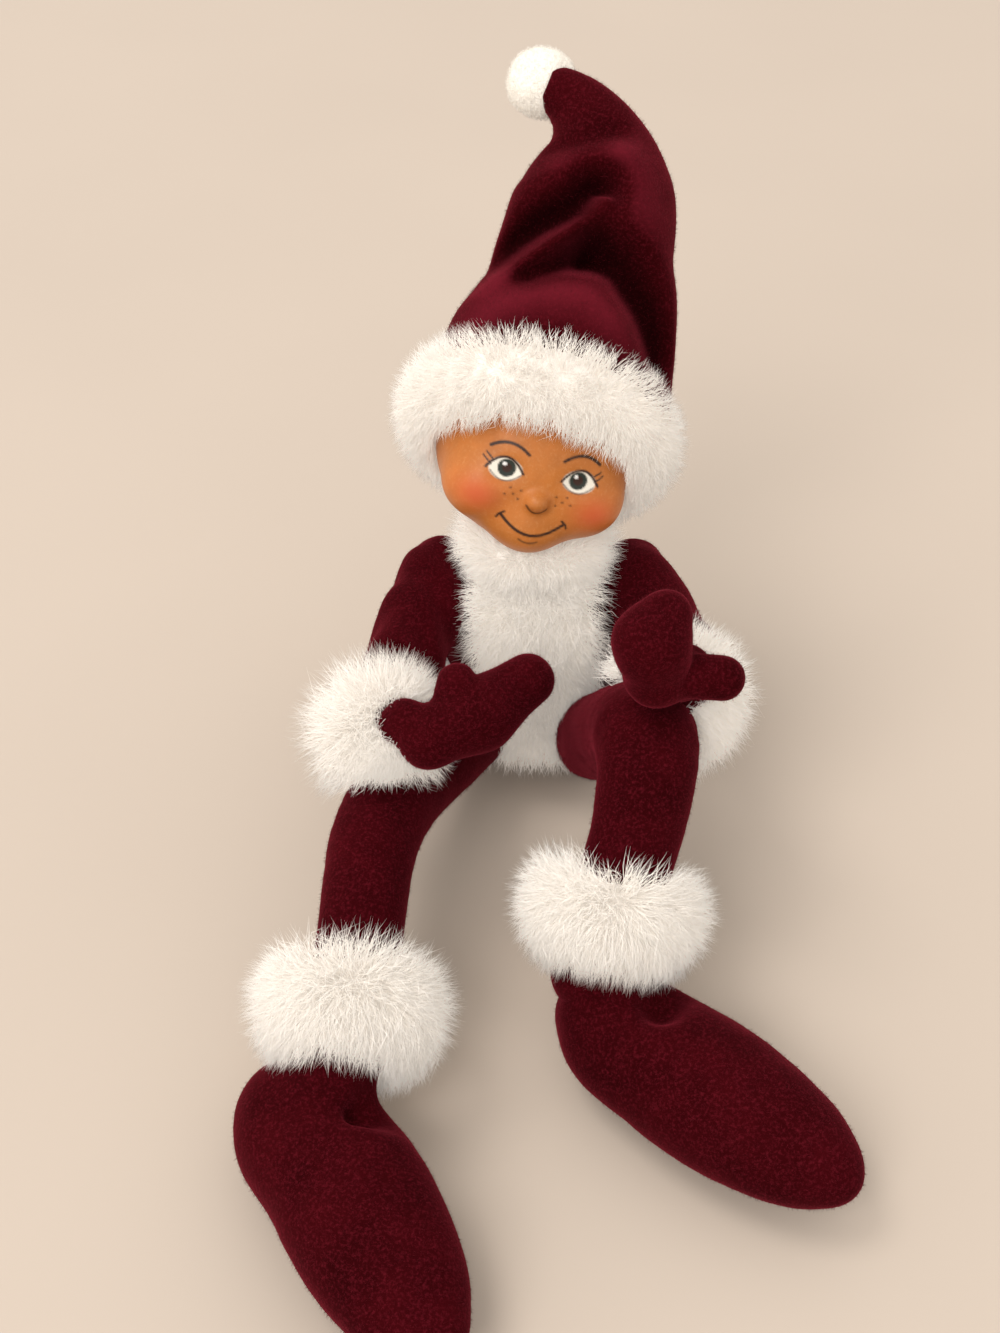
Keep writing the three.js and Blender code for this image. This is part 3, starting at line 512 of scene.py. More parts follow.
def felt_material():
    sheen = {"Sheen Weight": 0.45, "Sheen Roughness": 0.35, "Sheen Tint": (0.60, 0.05, 0.09, 1)}
    m, tree, shader = material("wine_felt_nap", WINE, 0.92, {**sheen, "Specular IOR Level": 0.02})
    fibre = noise(tree, size=0.8, detail=4.0, rough=0.75)
    colour = ramp(tree, noise(tree, size=16.0), 0.3, 0.75, WINE_DARK, WINE)
    bright = ramp(tree, fibre, 0.48, 0.8, (0, 0, 0), (0.6, 0.6, 0.6))
    # Painted light on the hat's folds: the ridges mix in a painted highlight, and the hollows a painted
    # shade that darkens the felt and its pale fibres
    colour = mix(tree, mask(tree, "raised"), colour, WINE_LIT)
    hollow_shade = mask(tree, "hollow_shade")
    colour = mix(tree, hollow_shade, colour, WINE_HOLLOW_SHADE)
    grain = mix(tree, hollow_shade, WINE_FIBRE, WINE_DARK)
    colour = mix(tree, bright, colour, grain)
    tint(tree, shader, colour)
    bump(tree, shader, fibre, strength=0.35, distance=0.5)
    return m


def fibre_material():
    m, tree, shader = material("wine_felt_fibre", WINE_FIBRE, 0.8, {"Specular IOR Level": 0.1})
    colour = ramp(tree, by_hair(tree), 0.0, 1.0, WINE, WINE_FIBRE)
    tint(tree, shader, colour)
    return m


def fur_material(name, pale, deep):
    m, tree, shader = material(name, pale, 0.75, {**glow(pale), "Specular IOR Level": 0.2})
    colour = ramp(tree, by_hair(tree), 0.0, 0.8, deep, pale)
    tint(tree, shader, colour)
    return m


def backing_material(name, colour):
    m, tree, shader = material(name, colour, 0.95, glow(colour))
    tufts = noise(tree, size=1.6)
    tone = ramp(tree, tufts, 0.3, 0.7, tuple(c * 0.86 for c in colour), colour)
    tint(tree, shader, tone)
    bump(tree, shader, tufts, strength=0.8, distance=1.2)
    return m


def face_material():
    coat = {"Coat Weight": 0.18, "Coat Roughness": 0.35}
    m, tree, shader = material("painted_face_felt", TAN, 0.48, coat)
    grain = noise(tree, size=0.8)
    colour = ramp(tree, noise(tree, size=7.0), 0.3, 0.72, tuple(c * 0.80 for c in TAN), TAN)
    flecks = ramp(tree, grain, 0.5, 0.8, (0, 0, 0), (0.3, 0.3, 0.3))
    colour = mix(tree, flecks, colour, FLECK)
    for layer, tone in PAINTS.items():
        colour = mix(tree, mask(tree, layer), colour, tone)
    tint(tree, shader, colour)
    bump(tree, shader, grain, strength=0.22, distance=0.3)
    return m


def wire_material():
    m, tree, shader = material("bright_wire", (0.42, 0.43, 0.45), 0.35, {"Metallic": 1.0})
    streak = noise(tree, size=2.0, detail=4.0)
    tone = ramp(tree, streak, 0.3, 0.7, (0.3, 0.3, 0.31), (0.46, 0.47, 0.49))
    tint(tree, shader, tone)
    return m


FELT_SKIN = felt_material()
FELT_FIBRE = fibre_material()
FUR_HAIR = fur_material("white_fur_hair", FUR, FUR_ROOT)
FUR_BACK = backing_material("white_fur_back", tuple(c * 0.94 for c in FUR))
WOOL_HAIR = fur_material("wool_hair", WOOL, tuple(c * 0.86 for c in WOOL))
WOOL_BACK = backing_material("wool_back", WOOL)
FACE_PAINT = face_material()
WIRE = wire_material()


def nap(points, faces, brush, density, lengths, seed):
    """Short felt fibres that lie along brush and stand a little off the skin."""
    rng = np.random.default_rng(seed)
    count = int(area_of(points, faces) * density * PILE_SHARE)
    root, normal = scatter(points, faces, count, rng)
    way = unit(NAP_RISE * normal + brush + NAP_SPREAD * rng.normal(size=normal.shape))
    length = rng.uniform(*lengths, count)
    width = np.full(count, NAP_WIDTH)
    return strands(root - NAP_SINK * normal, way, length, width, rng, NAP_BEND, rings=1)


def felt_mesh(name, points, face_sets, hair):
    piece = mesh_piece(name, [(points, face_sets, 0), (*hair, 1)], [FELT_SKIN, FELT_FIBRE])
    return piece


def felt_piece(name, points, faces, brush, seed, density=NAP_DENSITY):
    """A felt skin with its nap brushed one way."""
    hair = nap(points, faces, NAP_LEAN * unit(brush), density, NAP_LENGTH, seed)
    return felt_mesh(name, points, [faces], hair)


def tufted(root, way, length, rng, share, per_tuft):
    """Strand ways drawn together into tufts: each strand's tip leans to its tuft's tip."""
    chosen = rng.choice(len(root), max(2, len(root) // per_tuft), replace=False)
    tree = kdtree.KDTree(len(chosen))
    for i, k in enumerate(chosen):
        tree.insert(root[k], i)
    tree.balance()
    near = np.array([chosen[tree.find(p)[1]] for p in root])
    tip = root + way * length[:, None]
    goal = root[near] + way[near] * length[near][:, None]
    tip = tip + (goal - tip) * (share * rng.uniform(0.3, 1.0, len(root)))[:, None]
    return unit(tip - root)


def fur_piece(name, core, root, normal, lean, length, seed, spread=0.3, tuft=0.4, per_tuft=26,
              width=0.11, hair=FUR_HAIR, back=FUR_BACK, avoid=()):
    """A fur trim: a backing with long tapered hairs that lean, spread and gather into tufts."""
    rng = np.random.default_rng(seed)
    count = len(root)
    long = length * (FUR_SHORTEST + FUR_VARIETY * rng.beta(*FUR_SKEW, count))
    stroke = FUR_STROKE * np.stack([lumps(root, FUR_STROKE_SIZE, seed + i) for i in range(3)], 1)
    way = unit(normal + lean + stroke + spread * rng.normal(size=(count, 3)))
    way = tufted(root, way, long, rng, tuft, per_tuft)
    clear = np.ones(count, bool)
    for field, gap in avoid:
        for share in CUT_PLACES:
            clear &= field(root + way * (long * share)[:, None]) > gap
    long = np.where(clear, long, CUT_SHARE * long)
    tip_height = root[:, 2] + way[:, 2] * long
    fall = np.maximum(root[:, 2] - tip_height, 1e-6)
    kept = np.clip((root[:, 2] - FLOOR_GAP) / fall, LEAST_SHARE, 1)
    long = np.where(tip_height < FLOOR_GAP, long * kept, long)
    wide = width * rng.uniform(*FUR_WIDTHS, count)
    hairs = strands(root - FUR_SINK * normal, way, long, wide, rng)
    piece = mesh_piece(name, [(core[0], [core[1]], 0), (*hairs, 1)], [back, hair])
    return piece


# A fur ring is its centre, axes, two radii, half width and bulge
def ring_spots(ring, turn, lean):
    """Places on a ring's rim, by the turn round its last axis and the lean across the rim."""
    centre, axes, radii, half, bulge = ring
    out = bulge * np.cos(lean)
    first, second = (radii[0] + out) * np.cos(turn), (radii[1] + out) * np.sin(turn)
    return centre + np.stack([first, second, half * np.sin(lean)], -1).reshape(-1, 3) @ axes


def ring_core(ring, around=72, across=18):
    """A closed backing: its rim bulges out, its inner wall is a plain sleeve."""
    turns = np.linspace(0, 2 * math.pi, around, endpoint=False)
    turn, lean = np.meshgrid(turns, np.linspace(-RING_WRAP, RING_WRAP, across), indexing="ij")
    faces = grid_faces(around, across, rows_close=True, columns_close=True)
    return ring_spots(ring, turn, lean), faces[:, [0, 3, 2, 1]]


def ring_roots(ring, count, span, rng):
    """Root points on a ring's rim, with outward ways and the place across from -1 to 1."""
    turn = rng.uniform(0, 2 * math.pi, count)
    lean = rng.uniform(*span, count)
    rise = np.sin(lean)
    normal = np.stack([np.cos(lean) * np.cos(turn), np.cos(lean) * np.sin(turn), rise], 1)
    return ring_spots(ring, turn, lean), unit(normal @ ring[1]), rise


def axes_along(way, side):
    way = unit(way)
    first = unit(side - way * (side @ way))
    return np.stack([first, np.cross(way, first), way])


def trace(field, start, way, reach):
    """Where rays from start first meet the field's skin, and the skin's outward normals there."""
    far = np.zeros(len(start))
    for i in range(60):
        far = np.minimum(far + 0.8 * field(start + way * far[:, None]), reach)
    spot = start + way * far[:, None]
    return spot, unit(slope_of(field, spot) + 1e-12)


# Wires: they run along the middle of the stuffed forms
def make_wire(node, body, line):
    rings = []
    for i, spot in enumerate(line):
        run = line[min(i + 1, len(line) - 1)] - line[max(i - 1, 0)]
        first, second, way = axes_along(run, np.array([0.3, 0.2, 1.0]))
        turn = 2 * math.pi * np.arange(WIRE_SIDES)[:, None] / WIRE_SIDES
        rings.append(spot + WIRE_RADIUS * (first * np.cos(turn) + second * np.sin(turn)))
    points = np.concatenate(rings)
    walls = grid_faces(len(line), WIRE_SIDES, columns_close=True)
    k = np.arange(WIRE_SIDES)
    ends = np.stack([k[::-1], k + (len(line) - 1) * WIRE_SIDES])
    piece = mesh_piece(node + "_bent", [(points, [walls, ends], 0)], [WIRE])
    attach(piece, body)
    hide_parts(node)


def stuff(piece, body, fill, *nodes):
    """A stuffed piece on one body, in place of its nodes."""
    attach(piece, body)
    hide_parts(*nodes)


def dress_limb(piece, side, parts, stops, line, cuts):
    """Takes a stuffed limb in place of its parts, and puts two wires on its line."""
    before, bend, after = stops
    run = unit(unit(bend - before) + unit(after - bend))
    upper, lower = names = [side + part for part in parts]
    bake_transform(piece)
    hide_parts(*[name + kind for name in names for kind in ("_felt", "_filling")])
    for name, (first, last) in zip(names, cuts):
        make_wire(name + "_wire", name, line[first:last])


# Legs: one stuffed tube from hip to ankle, creased inside the knee
LEG_PLACES = (0.0, 0.12, 0.35, 0.52, 0.75, 1.0)
CALF_SHARE = 0.36
KNEE_REACH = 17.0
KNEE_CREASE = 0.35
KNEE_CREASE_SIZE = 4.5
LEG_CUTS = ((1, 11), (16, 25))


def make_leg(side, start, lift, swing, foot, soft, ends, seed):
    hip, knee, ankle = pivots(side, "hip", "knee", "ankle")
    radius = LEG_RADIUS[side]
    calf = knee + CALF_SHARE * (ankle - knee) + swing
    low_end = ankle + 5 * unit(knee - ankle) + foot
    line, share = rounded([start, knee + lift, calf, low_end], soft, 26)
    shares = np.array([ends[0], 0.96, 1.0, 1.03, 0.5 + 0.5 * ends[1], ends[1]])
    radii = np.interp(share, LEG_PLACES, shares * radius)

    def field(p):
        d = uneven(path_field(p, line, radii), p, seed, LEG_LUMPS)
        near = np.exp(-((norm(p - knee, axis=1) / KNEE_REACH) ** 2))
        crease = lumps(p * (0.6, 1.0, 1.0), KNEE_CREASE_SIZE, seed + 2)
        return d - near * KNEE_CREASE * crease

    points, faces = skin(field, line.min(0) - radius - 3, line.max(0) + radius + 3, FELT_STEP)
    piece = felt_piece(side + "_leg", points, faces, ankle - knee, seed)
    dress_limb(piece, side, ("_thigh", "_shin"), (hip, knee, ankle), line, LEG_CUTS)
    return field


def felt_on_floor(name, field, low, high, brush, seed):
    """A felt piece that rests on the floor, with no fibre below it."""
    points, faces = skin(field, low, high, FELT_STEP)
    points[:, 2] = np.maximum(points[:, 2], 0)
    piece = felt_piece(name, points, faces, brush, seed)
    mesh = piece.data
    co = np.zeros(len(mesh.vertices) * 3, np.float32)
    mesh.vertices.foreach_get("co", co)
    co[2::3] = np.maximum(co[2::3], 0)
    mesh.vertices.foreach_set("co", co)
    mesh.update()
    return piece


# Boots: a plump sack with a heel, an ankle neck, a dimple at the instep and a sole seam
def make_boot(side, angle, outward, dent, dent_radius, heel_out, heel_on, heel_size, seed):
    ankle, knee = pivots(side, "ankle", "knee")
    toe = heading(angle)
    across = np.cross(UP, toe)
    away = across if across[0] * (1 if side == "left" else -1) > 0 else -across
    base = np.array([ankle[0], ankle[1], 0.0]) + outward * away
    axes = np.stack([toe, across, UP])
    half = BOOT_LENGTH / 2
    centre = base + toe * (half - BOOT_HEEL) + UP * BOOT_HEIGHT * 0.5
    radii = (half, BOOT_WIDTH / 2, BOOT_HEIGHT / 2)
    up = unit(knee - ankle)
    collar = ankle + away * outward * 0.35
    heel_spot = base + toe * heel_on + away * heel_out + UP * HEEL_HEIGHT

    def field(p):
        body = egg(p, centre, axes, radii)
        heel = egg(p, heel_spot, axes, heel_size)
        neck = limb(p, collar - up * 4, ankle + up * 16, 10.6, 10.8)
        d = join(join(body, heel, 8.0), neck, 3.5)
        pinch = limb(p, dent - away * 4, dent + away * 3 - UP, dent_radius, dent_radius * 0.6)
        d = uneven(carve(d, pinch, 7.0), p, seed, BOOT_LUMPS)
        seam = np.exp(-(((p[:, 2] - SEAM_HEIGHT) / SEAM_WIDTH) ** 2)) * (p[:, 2] < SEAM_TOP)
        d = d + SEAM_DEPTH * seam * np.clip(1 - d / 4, 0, 1)
        return np.maximum(d, FLOOR_LIFT - p[:, 2])

    wide = across * BOOT_WIDTH / 2
    corners = [centre + toe * half * s + wide * r for s in (-1, 1) for r in (-1, 1)]
    corners = np.stack([*corners, ankle + up * 28, base - toe * 14])
    low, high = corners.min(0) - 8, corners.max(0) + 8
    low[2] = -3
    piece = felt_on_floor(side + "_boot", field, low, high, toe, seed)
    stuff(piece, side + "_foot", 0.85, side + "_boot_felt", side + "_boot_filling")


# Jacket: the stuffed torso
CHEST, CHEST_RADII = (0.0, 1.0, 41.0), (26.0, 20.0, 22.0)
HIPS, HIPS_RADII = (0.0, 1.0, 19.0), (29.5, 23.5, 22.0)
TORSO_MIDDLE = np.array([0.0, 1.0, 0.0])
FRONT_MIDDLE = -2.2
SHOULDER_SHARE = {"right": 0.94, "left": 0.72}


def torso_field(p):
    axes = np.eye(3)
    d = egg(p, HIPS, axes, HIPS_RADII)
    d = join(d, egg(p, CHEST, axes, CHEST_RADII), 10.0)
    for side in ("right", "left"):
        shoulder = pivot(side + "_shoulder")
        end = shoulder * (SHOULDER_SHARE[side], 1, 1) - UP * 2
        d = join(d, limb(p, shoulder * (0.2, 1, 1) - UP * 4, end, 11.0, 9.4), 9.0)
    neck = pivot("neck_nod")
    d = join(d, limb(p, neck - UP * 12, neck + UP * 4, 10.0, 8.0), 5.0)
    return np.maximum(d, -p[:, 2])


def make_jacket(seed):
    def field(p):
        d = uneven(torso_field(p), p, seed, JACKET_LUMPS)
        return np.maximum(d, FLOOR_LIFT - p[:, 2])

    piece = felt_on_floor("jacket", field, (-46, -34, -3), (46, 36, 80), -UP, seed)
    stuff(piece, "torso", 0.8, "torso_felt", "torso_filling")


# Sleeves: from the shoulder over the elbow to the wrist, with soft folds
SLEEVE_PLACES = (0.0, 0.2, 0.5, 0.75, 1.0)
SLEEVE_SHARES = np.array([0.98, 1.03, 1.0, 0.76, 0.36])
FOREARM_SHARE = 0.58
FOLD_PITCH = 0.36
FOLD_DEPTH = 0.5
SLEEVE_CUTS = ((1, 8), (10, 17))


def make_sleeve(side, start, bend, sag, end, seed):
    shoulder, elbow, wrist = pivots(side, "shoulder", "elbow", "wrist")
    fore = elbow + FOREARM_SHARE * (wrist - elbow) + sag
    stops = [shoulder + start, elbow + bend, fore, wrist + end]
    line, share = rounded(stops, 5.0, 18)
    radii = np.interp(share, SLEEVE_PLACES, SLEEVE_SHARES * SLEEVE_RADIUS)
    along = unit(elbow - shoulder)

    def field(p):
        d = path_field(p, line, radii)
        s = (p - shoulder) @ along + 0.5 * p[:, 2]
        fold = np.sin(s * FOLD_PITCH + 4.0 * lumps(p, 20.0, seed + 3)) * np.clip((s - 6) / 12, 0, 1)
        return uneven(d - FOLD_DEPTH * fold, p, seed, SLEEVE_LUMPS)

    low, high = line.min(0) - SLEEVE_RADIUS - 3, line.max(0) + SLEEVE_RADIUS + 3
    points, faces = skin(field, low, high, FELT_STEP)
    piece = felt_piece(side + "_sleeve", points, faces, elbow - shoulder, seed)
    stops = (shoulder, elbow, wrist)
    dress_limb(piece, side, ("_upper_arm", "_forearm"), stops, line, SLEEVE_CUTS)


# Mittens: a bag for the fingers, a bag for the thumb and the heel of the hand
def make_mitten(side, heel, palm, curl, tip, thumb, thumb_tip, radii, seed):
    wrist = pivot(side + "_wrist")
    spots = np.array([wrist, heel, palm, curl, tip, thumb, thumb_tip], float)
    heel, palm, curl, tip, thumb, thumb_tip = spots[1:]
    at_heel, at_palm, at_curl, at_tip, at_thumb = radii

    def field(p):
        d = limb(p, palm, curl, at_palm, at_curl)
        d = join(d, limb(p, curl, tip, at_curl, at_tip), 5.0)
        d = join(d, limb(p, heel, palm, at_heel, at_palm * 0.95), 1.5)
        d = join(d, limb(p, 0.4 * wrist + 0.6 * heel, heel, at_heel * 0.8, at_heel), 2.0)
        d = join(d, limb(p, thumb, thumb_tip, at_thumb, at_thumb), 1.0)
        return uneven(d, p, seed, MITTEN_LUMPS)

    points, faces = skin(field, spots.min(0) - 13, spots.max(0) + 13, MITTEN_STEP)
    piece = felt_piece(side + "_mitten", points, faces, tip - palm, seed, MITTEN_DENSITY)
    stuff(piece, side + "_hand", 0.9, side + "_mitten_felt", side + "_mitten_filling")
    if side == "left":
        line, share = rounded([0.5 * (wrist + heel), heel, palm, curl], 2.0, 12)
        make_wire("left_mitten_wire", "left_hand", line)
    return field


# Head: its own axes follow the neck's two hinges
HEAD_SIDE = hinge("neck_nod")
HEAD_UP = hinge("head_turn")
HEAD_BACK = unit(np.cross(HEAD_UP, HEAD_SIDE))
HEAD_AXES = np.stack([HEAD_SIDE, HEAD_BACK, HEAD_UP])
HEAD = middle("head_felt") - 2.8 * HEAD_SIDE - 1.2 * HEAD_UP
HAT_BACK = hinge("hat_flop")
HAT_SIDE = HEAD_SIDE
HAT_UP = unit(np.cross(HAT_SIDE, HAT_BACK))
HAT_AXES = np.stack([HAT_SIDE, HAT_BACK, HAT_UP])
HAT_FOLD = pivot("hat_flop")
HAT_FOLD_HEIGHT = 44.0
HAT_LEAN = 11.44
HAT_BASE = HAT_FOLD - HAT_UP * HAT_FOLD_HEIGHT + HAT_BACK * HAT_LEAN
BRIM_TILT = math.radians(14.0)
BRIM_ROLL = math.radians(5.0)
BRIM_DROP = 7.4
ROLL_UP = HAT_UP * math.cos(BRIM_ROLL) + HAT_SIDE * math.sin(BRIM_ROLL)
BRIM_SIDE = HAT_SIDE * math.cos(BRIM_ROLL) - HAT_UP * math.sin(BRIM_ROLL)
BRIM_BACK = HAT_BACK * math.cos(BRIM_TILT) - ROLL_UP * math.sin(BRIM_TILT)
BRIM_UP = ROLL_UP * math.cos(BRIM_TILT) + HAT_BACK * math.sin(BRIM_TILT)
BRIM_AXES = np.stack([BRIM_SIDE, BRIM_BACK, BRIM_UP])
BRIM = HAT_BASE - 1.2 * HAT_SIDE + 2.3 * HAT_BACK - BRIM_DROP * HAT_UP


def soft_step(edge, width, value):
    return np.clip(0.5 + (edge - value) / width, 0, 1)


def arc_gap(a, c, points):
    """How far places on the face are from a drawn line."""
    points = np.asarray(points, float)
    best = np.full(len(a), 99.0)
    place = np.stack([a, c], 1)
    for p, q in zip(points[:-1], points[1:]):
        pq = q - p
        t = np.clip(((place - p) @ pq) / (pq @ pq), 0, 1)
        best = np.minimum(best, norm(place - p - t[:, None] * pq, axis=1))
    return best


def arch(x0, x1, z_ends, z_middle, count=13):
    t = np.linspace(-1, 1, count)
    return np.stack([(x0 + x1) / 2 + (x1 - x0) / 2 * t, z_middle + (z_ends - z_middle) * t * t], 1)


# Forms of the head in its own axes: place, radii and how softly each joins
SKULL_RADII = (26.2, 23.0, 25.0)
SWELLINGS = (
    ((-14.0, -13.0, -8.0), (9.0, 8.6, 8.2), 7.0),
    ((14.0, -13.0, -8.0), (9.0, 8.6, 8.2), 7.0),
    ((0.0, -14.5, -16.5), (8.0, 7.5, 6.8), 7.0),
    ((0.0, -22.6, -7.2), (3.0, 3.2, 2.6), 2.4),
)
HOLLOWS = (
    ((-9.6, -24.8, -0.6), (5.0, 3.2, 3.4), 3.0),
    ((9.6, -24.8, -0.6), (5.0, 3.2, 3.4), 3.0),
)
# Painted lines: strength, half width, blur, whether both sides have it, and places (side, up)
INK_LINES = (
    (1.0, 0.34, 0.3, True, arch(5.0, 14.6, -1.0, 2.5)),
    (0.7, 0.2, 0.25, True, arch(5.6, 13.4, -1.6, -3.6)),
    (1.0, 0.22, 0.25, True, ((12.8, 0.9), (14.9, 2.5))),
    (1.0, 0.22, 0.25, True, ((13.5, -0.1), (15.6, 1.5))),
    (1.0, 0.40, 0.3, True, arch(4.6, 14.2, 4.3, 6.2)),
    (0.85, 0.3, 0.3, False, arch(-2.6, 2.6, -8.4, -10.1)),
    (1.0, 0.42, 0.3, False, arch(-8.2, 8.2, -12.6, -16.6)),
    (1.0, 0.3, 0.3, True, ((7.6, -11.6), (8.8, -12.6), (9.2, -13.6))),
    (0.7, 0.28, 0.3, False, arch(-2.4, 2.4, -18.2, -18.9)),
)
FRECKLES = ((4.6, -5.2), (6.4, -6.4), (4.9, -7.6), (7.4, -4.9), (8.6, -6.8))
EYE_SIDE = 9.6
IRIS_SIDE = 9.3
IRIS_RADIUS = 2.35
PUPIL_RADIUS = 1.25


def make_head(seed):
    def field(p):
        q = (p - HEAD) @ HEAD_AXES.T
        axes = np.eye(3)
        d = egg(q, np.zeros(3), axes, SKULL_RADII)
        for place, radii, soft in SWELLINGS:
            d = join(d, egg(q, place, axes, radii), soft)
        for place, radii, soft in HOLLOWS:
            d = carve(d, egg(q, place, axes, radii), soft)
        return uneven(d, p, seed, HEAD_LUMPS)

    points, faces = skin(field, HEAD - 29, HEAD + 29, FACE_STEP)
    piece = mesh_piece("head", [(points, [faces], 0)], [FACE_PAINT])
    q = (points - HEAD) @ HEAD_AXES.T
    a, c, front = q[:, 0], q[:, 2], q[:, 1] < -4
    side = np.abs(a)
    blush = 0.9 * np.exp(-(((side - 15.5) / 5.6) ** 2) - (((c + 8.5) / 4.6) ** 2))
    white = soft_step(1.0, 0.12, np.sqrt(((side - EYE_SIDE) / 4.3) ** 2 + ((c + 0.6) / 2.9) ** 2))
    iris = np.hypot(side - IRIS_SIDE, c + 0.3)
    ink = soft_step(PUPIL_RADIUS, 0.3, iris)
    for strength, width, blur, both, line in INK_LINES:
        gap = arc_gap(side if both else a, c, line)
        ink = np.maximum(ink, strength * soft_step(width, blur, gap))
    for dx, dz in FRECKLES:
        ink = np.maximum(ink, 0.8 * soft_step(0.3, 0.3, np.hypot(side - dx, c - dz)))
    shine = soft_step(0.5, 0.25, np.hypot(a + 0.7 - np.sign(a) * IRIS_SIDE, c - 0.6))
    layers = {
        "blush": blush,
        "white": white,
        "iris": soft_step(IRIS_RADIUS, 0.3, iris) * white,
        "ink": ink,
        "glint": shine * white,
    }
    paint(piece, {name: np.where(front, tone, 0) for name, tone in layers.items()})
    stuff(piece, "head", 0.95, "head_felt", "head_filling")


# Hat: a felt cone in its own axes (side, back, up) with deep folds in front and a curled tip.
# The four rows go up the cone: height, middle, half width and half depth.
HAT_LEVELS = np.array([0.0, 9.0, 18.0, 27.0, 35.0, 43.0, 52.0, 61.0, 68.0, 73.0, 75.5, 76.5, 77.0])
HAT_MIDDLE = np.array([1.0, 0.9, 2.3, 2.8, 2.0, 2.1, 2.4, 0.8, -1.5, -5.5, -9.5, -13.0, -15.3])
HAT_HALF = np.array([32.0, 31.8, 29.2, 25.6, 23.4, 22.4, 21.2, 17.1, 11.8, 8.6, 6.8, 5.8, 4.0])
HAT_DEEP = np.array([27.5, 26.5, 24.5, 22.5, 21.5, 20.5, 17.8, 13.5, 10.4, 8.2, 6.6, 5.6, 3.8])
# Folds: height, width and the places (side, up) that each runs along
HAT_FOLDS = (
    (6.0, 2.0, ((-25, 21.0), (-17.5, 26.7), (-11.6, 31.4), (-5.8, 36.4), (-1.2, 40.6), (1.1, 45.2))),
    (-11.5, 4.2, ((-21, 32.0), (-12.8, 38.2), (-4.4, 43.9), (-0.2, 49.2))),
    (-6.5, 3.0, ((-13.2, 25.2), (-5.8, 29.3), (1.5, 33.4))),
    (-11.0, 4.6, ((1.5, 33.4), (8.8, 30.9), (16.9, 23.3), (23.1, 15.1))),
    (3.5, 4.0, ((-29, 8.9), (-21, 15.7), (-10.9, 19.7), (1.1, 20.1), (14.2, 14.7), (23.5, 8.5))),
    (2.2, 4.6, ((5, 58.0), (10, 48.7), (12.6, 39.5), (14, 33.0))),
    (2.2, 3.2, ((-10, 54.0), (-3, 55.5), (3, 57.0))),
    (-2.5, 2.6, ((-12, 58.5), (-6, 60.5), (2, 63.5))),
)
HAT_THICKNESS = 1.4


def make_hat(seed):
    around, levels = ((190, 150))
    s = np.linspace(0, 1, levels)
    along = np.concatenate([[0], np.cumsum(np.hypot(np.diff(HAT_LEVELS), np.diff(HAT_MIDDLE)))])
    along = along / along[-1]

    def smooth(values):
        rough = np.interp(s, along, values)
        wide = np.exp(-0.5 * ((s[:, None] - s[None]) / 0.035) ** 2)
        soft = wide @ rough / wide.sum(1)
        hold = np.clip(np.minimum(s, 1 - s) / 0.08, 0, 1)
        return rough + (soft - rough) * hold

    level, centre, half, deep = (smooth(v) for v in (HAT_LEVELS, HAT_MIDDLE, HAT_HALF, HAT_DEEP))
    run = unit(np.stack([np.gradient(centre), np.gradient(level)], 1))
    turn = np.linspace(0, 2 * math.pi, around, endpoint=False)
    across = np.cos(turn)[None] * half[:, None]
    back = np.sin(turn)[None] * deep[:, None]
    x = centre[:, None] + across * run[:, 1:2]
    z = level[:, None] - across * run[:, 0:1]
    x, z, back = x.ravel(), z.ravel(), back.ravel()
    front = np.tile(np.clip((-np.sin(turn) + 0.02) / 0.8, 0, 1), levels)
    push = np.zeros(len(x))
    for height, width, line in HAT_FOLDS:
        gap = arc_gap(x, z, line)
        push += height * np.exp(-0.5 * (gap / width) ** 2)
    push *= front * front * (3 - 2 * front)
    rear = np.tile(np.clip(np.sin(turn), 0, 1), levels)
    wave = 1.6 * np.sin(z * 0.2 + x * 0.09) * rear * np.clip(z / 20, 0, 1)
    low_part = np.minimum(z / HAT_FOLD_HEIGHT, 1)
    lean = -HAT_LEAN * low_part - 0.1 * np.maximum(z - HAT_FOLD_HEIGHT, 0)
    slant = np.clip(1 - z / 26, 0, 1)
    depth = back - push + wave + lean + 2.3 * slant
    drop = back * math.tan(BRIM_TILT) + x * math.tan(BRIM_ROLL) + BRIM_DROP
    height = z - drop * slant
    q = np.stack([x, depth, height], 1)
    points = HAT_BASE + q @ HAT_AXES
    points += 0.3 * lumps(points, 9.0, seed)[:, None] * unit(points - HAT_BASE - HAT_UP * 30)
    faces = grid_faces(levels, around, columns_close=True)
    inner = points - HAT_THICKNESS * normals_of(points, faces)
    total = len(points)
    k = np.arange(around)
    after = (k + 1) % around
    edge = np.stack([k, after, total + after, total + k], 1)
    rim = edge[:, ::-1]
    end = edge + (levels - 1) * around
    shell = np.concatenate([points, inner])
    hair = nap(points, faces, HAT_NAP_LEAN * HAT_UP, HAT_DENSITY, HAT_NAP_LENGTH, seed)
    piece = felt_mesh("hat", shell, [faces, faces[:, ::-1] + total, rim, end], hair)
    # Masks of painted light from the folds' push: a painted highlight on the ridges and a painted shade
    # in the hollows
    paint(piece, {"raised": np.clip(push / 6.0, 0, 0.6), "hollow_shade": np.clip(-push / 10.0, 0, 0.88)})
    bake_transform(piece)
    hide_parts("hat_crown", "hat_tip")
    return piece


# Fur trims
def fur_ring(name, body, node, ring, count, span, pile, seed, **looks):
    """A fur ring round a form: pile gives each hair's lean and length by its place and normal."""
    rng = np.random.default_rng(seed)
    root, normal, across = ring_roots(ring, int(count * PILE_SHARE), span, rng)
    lean, length = pile(across[:, None], normal)
    piece = fur_piece(name, ring_core(ring), root, normal, lean, length, seed, **looks)
    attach(piece, body)
    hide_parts(node)


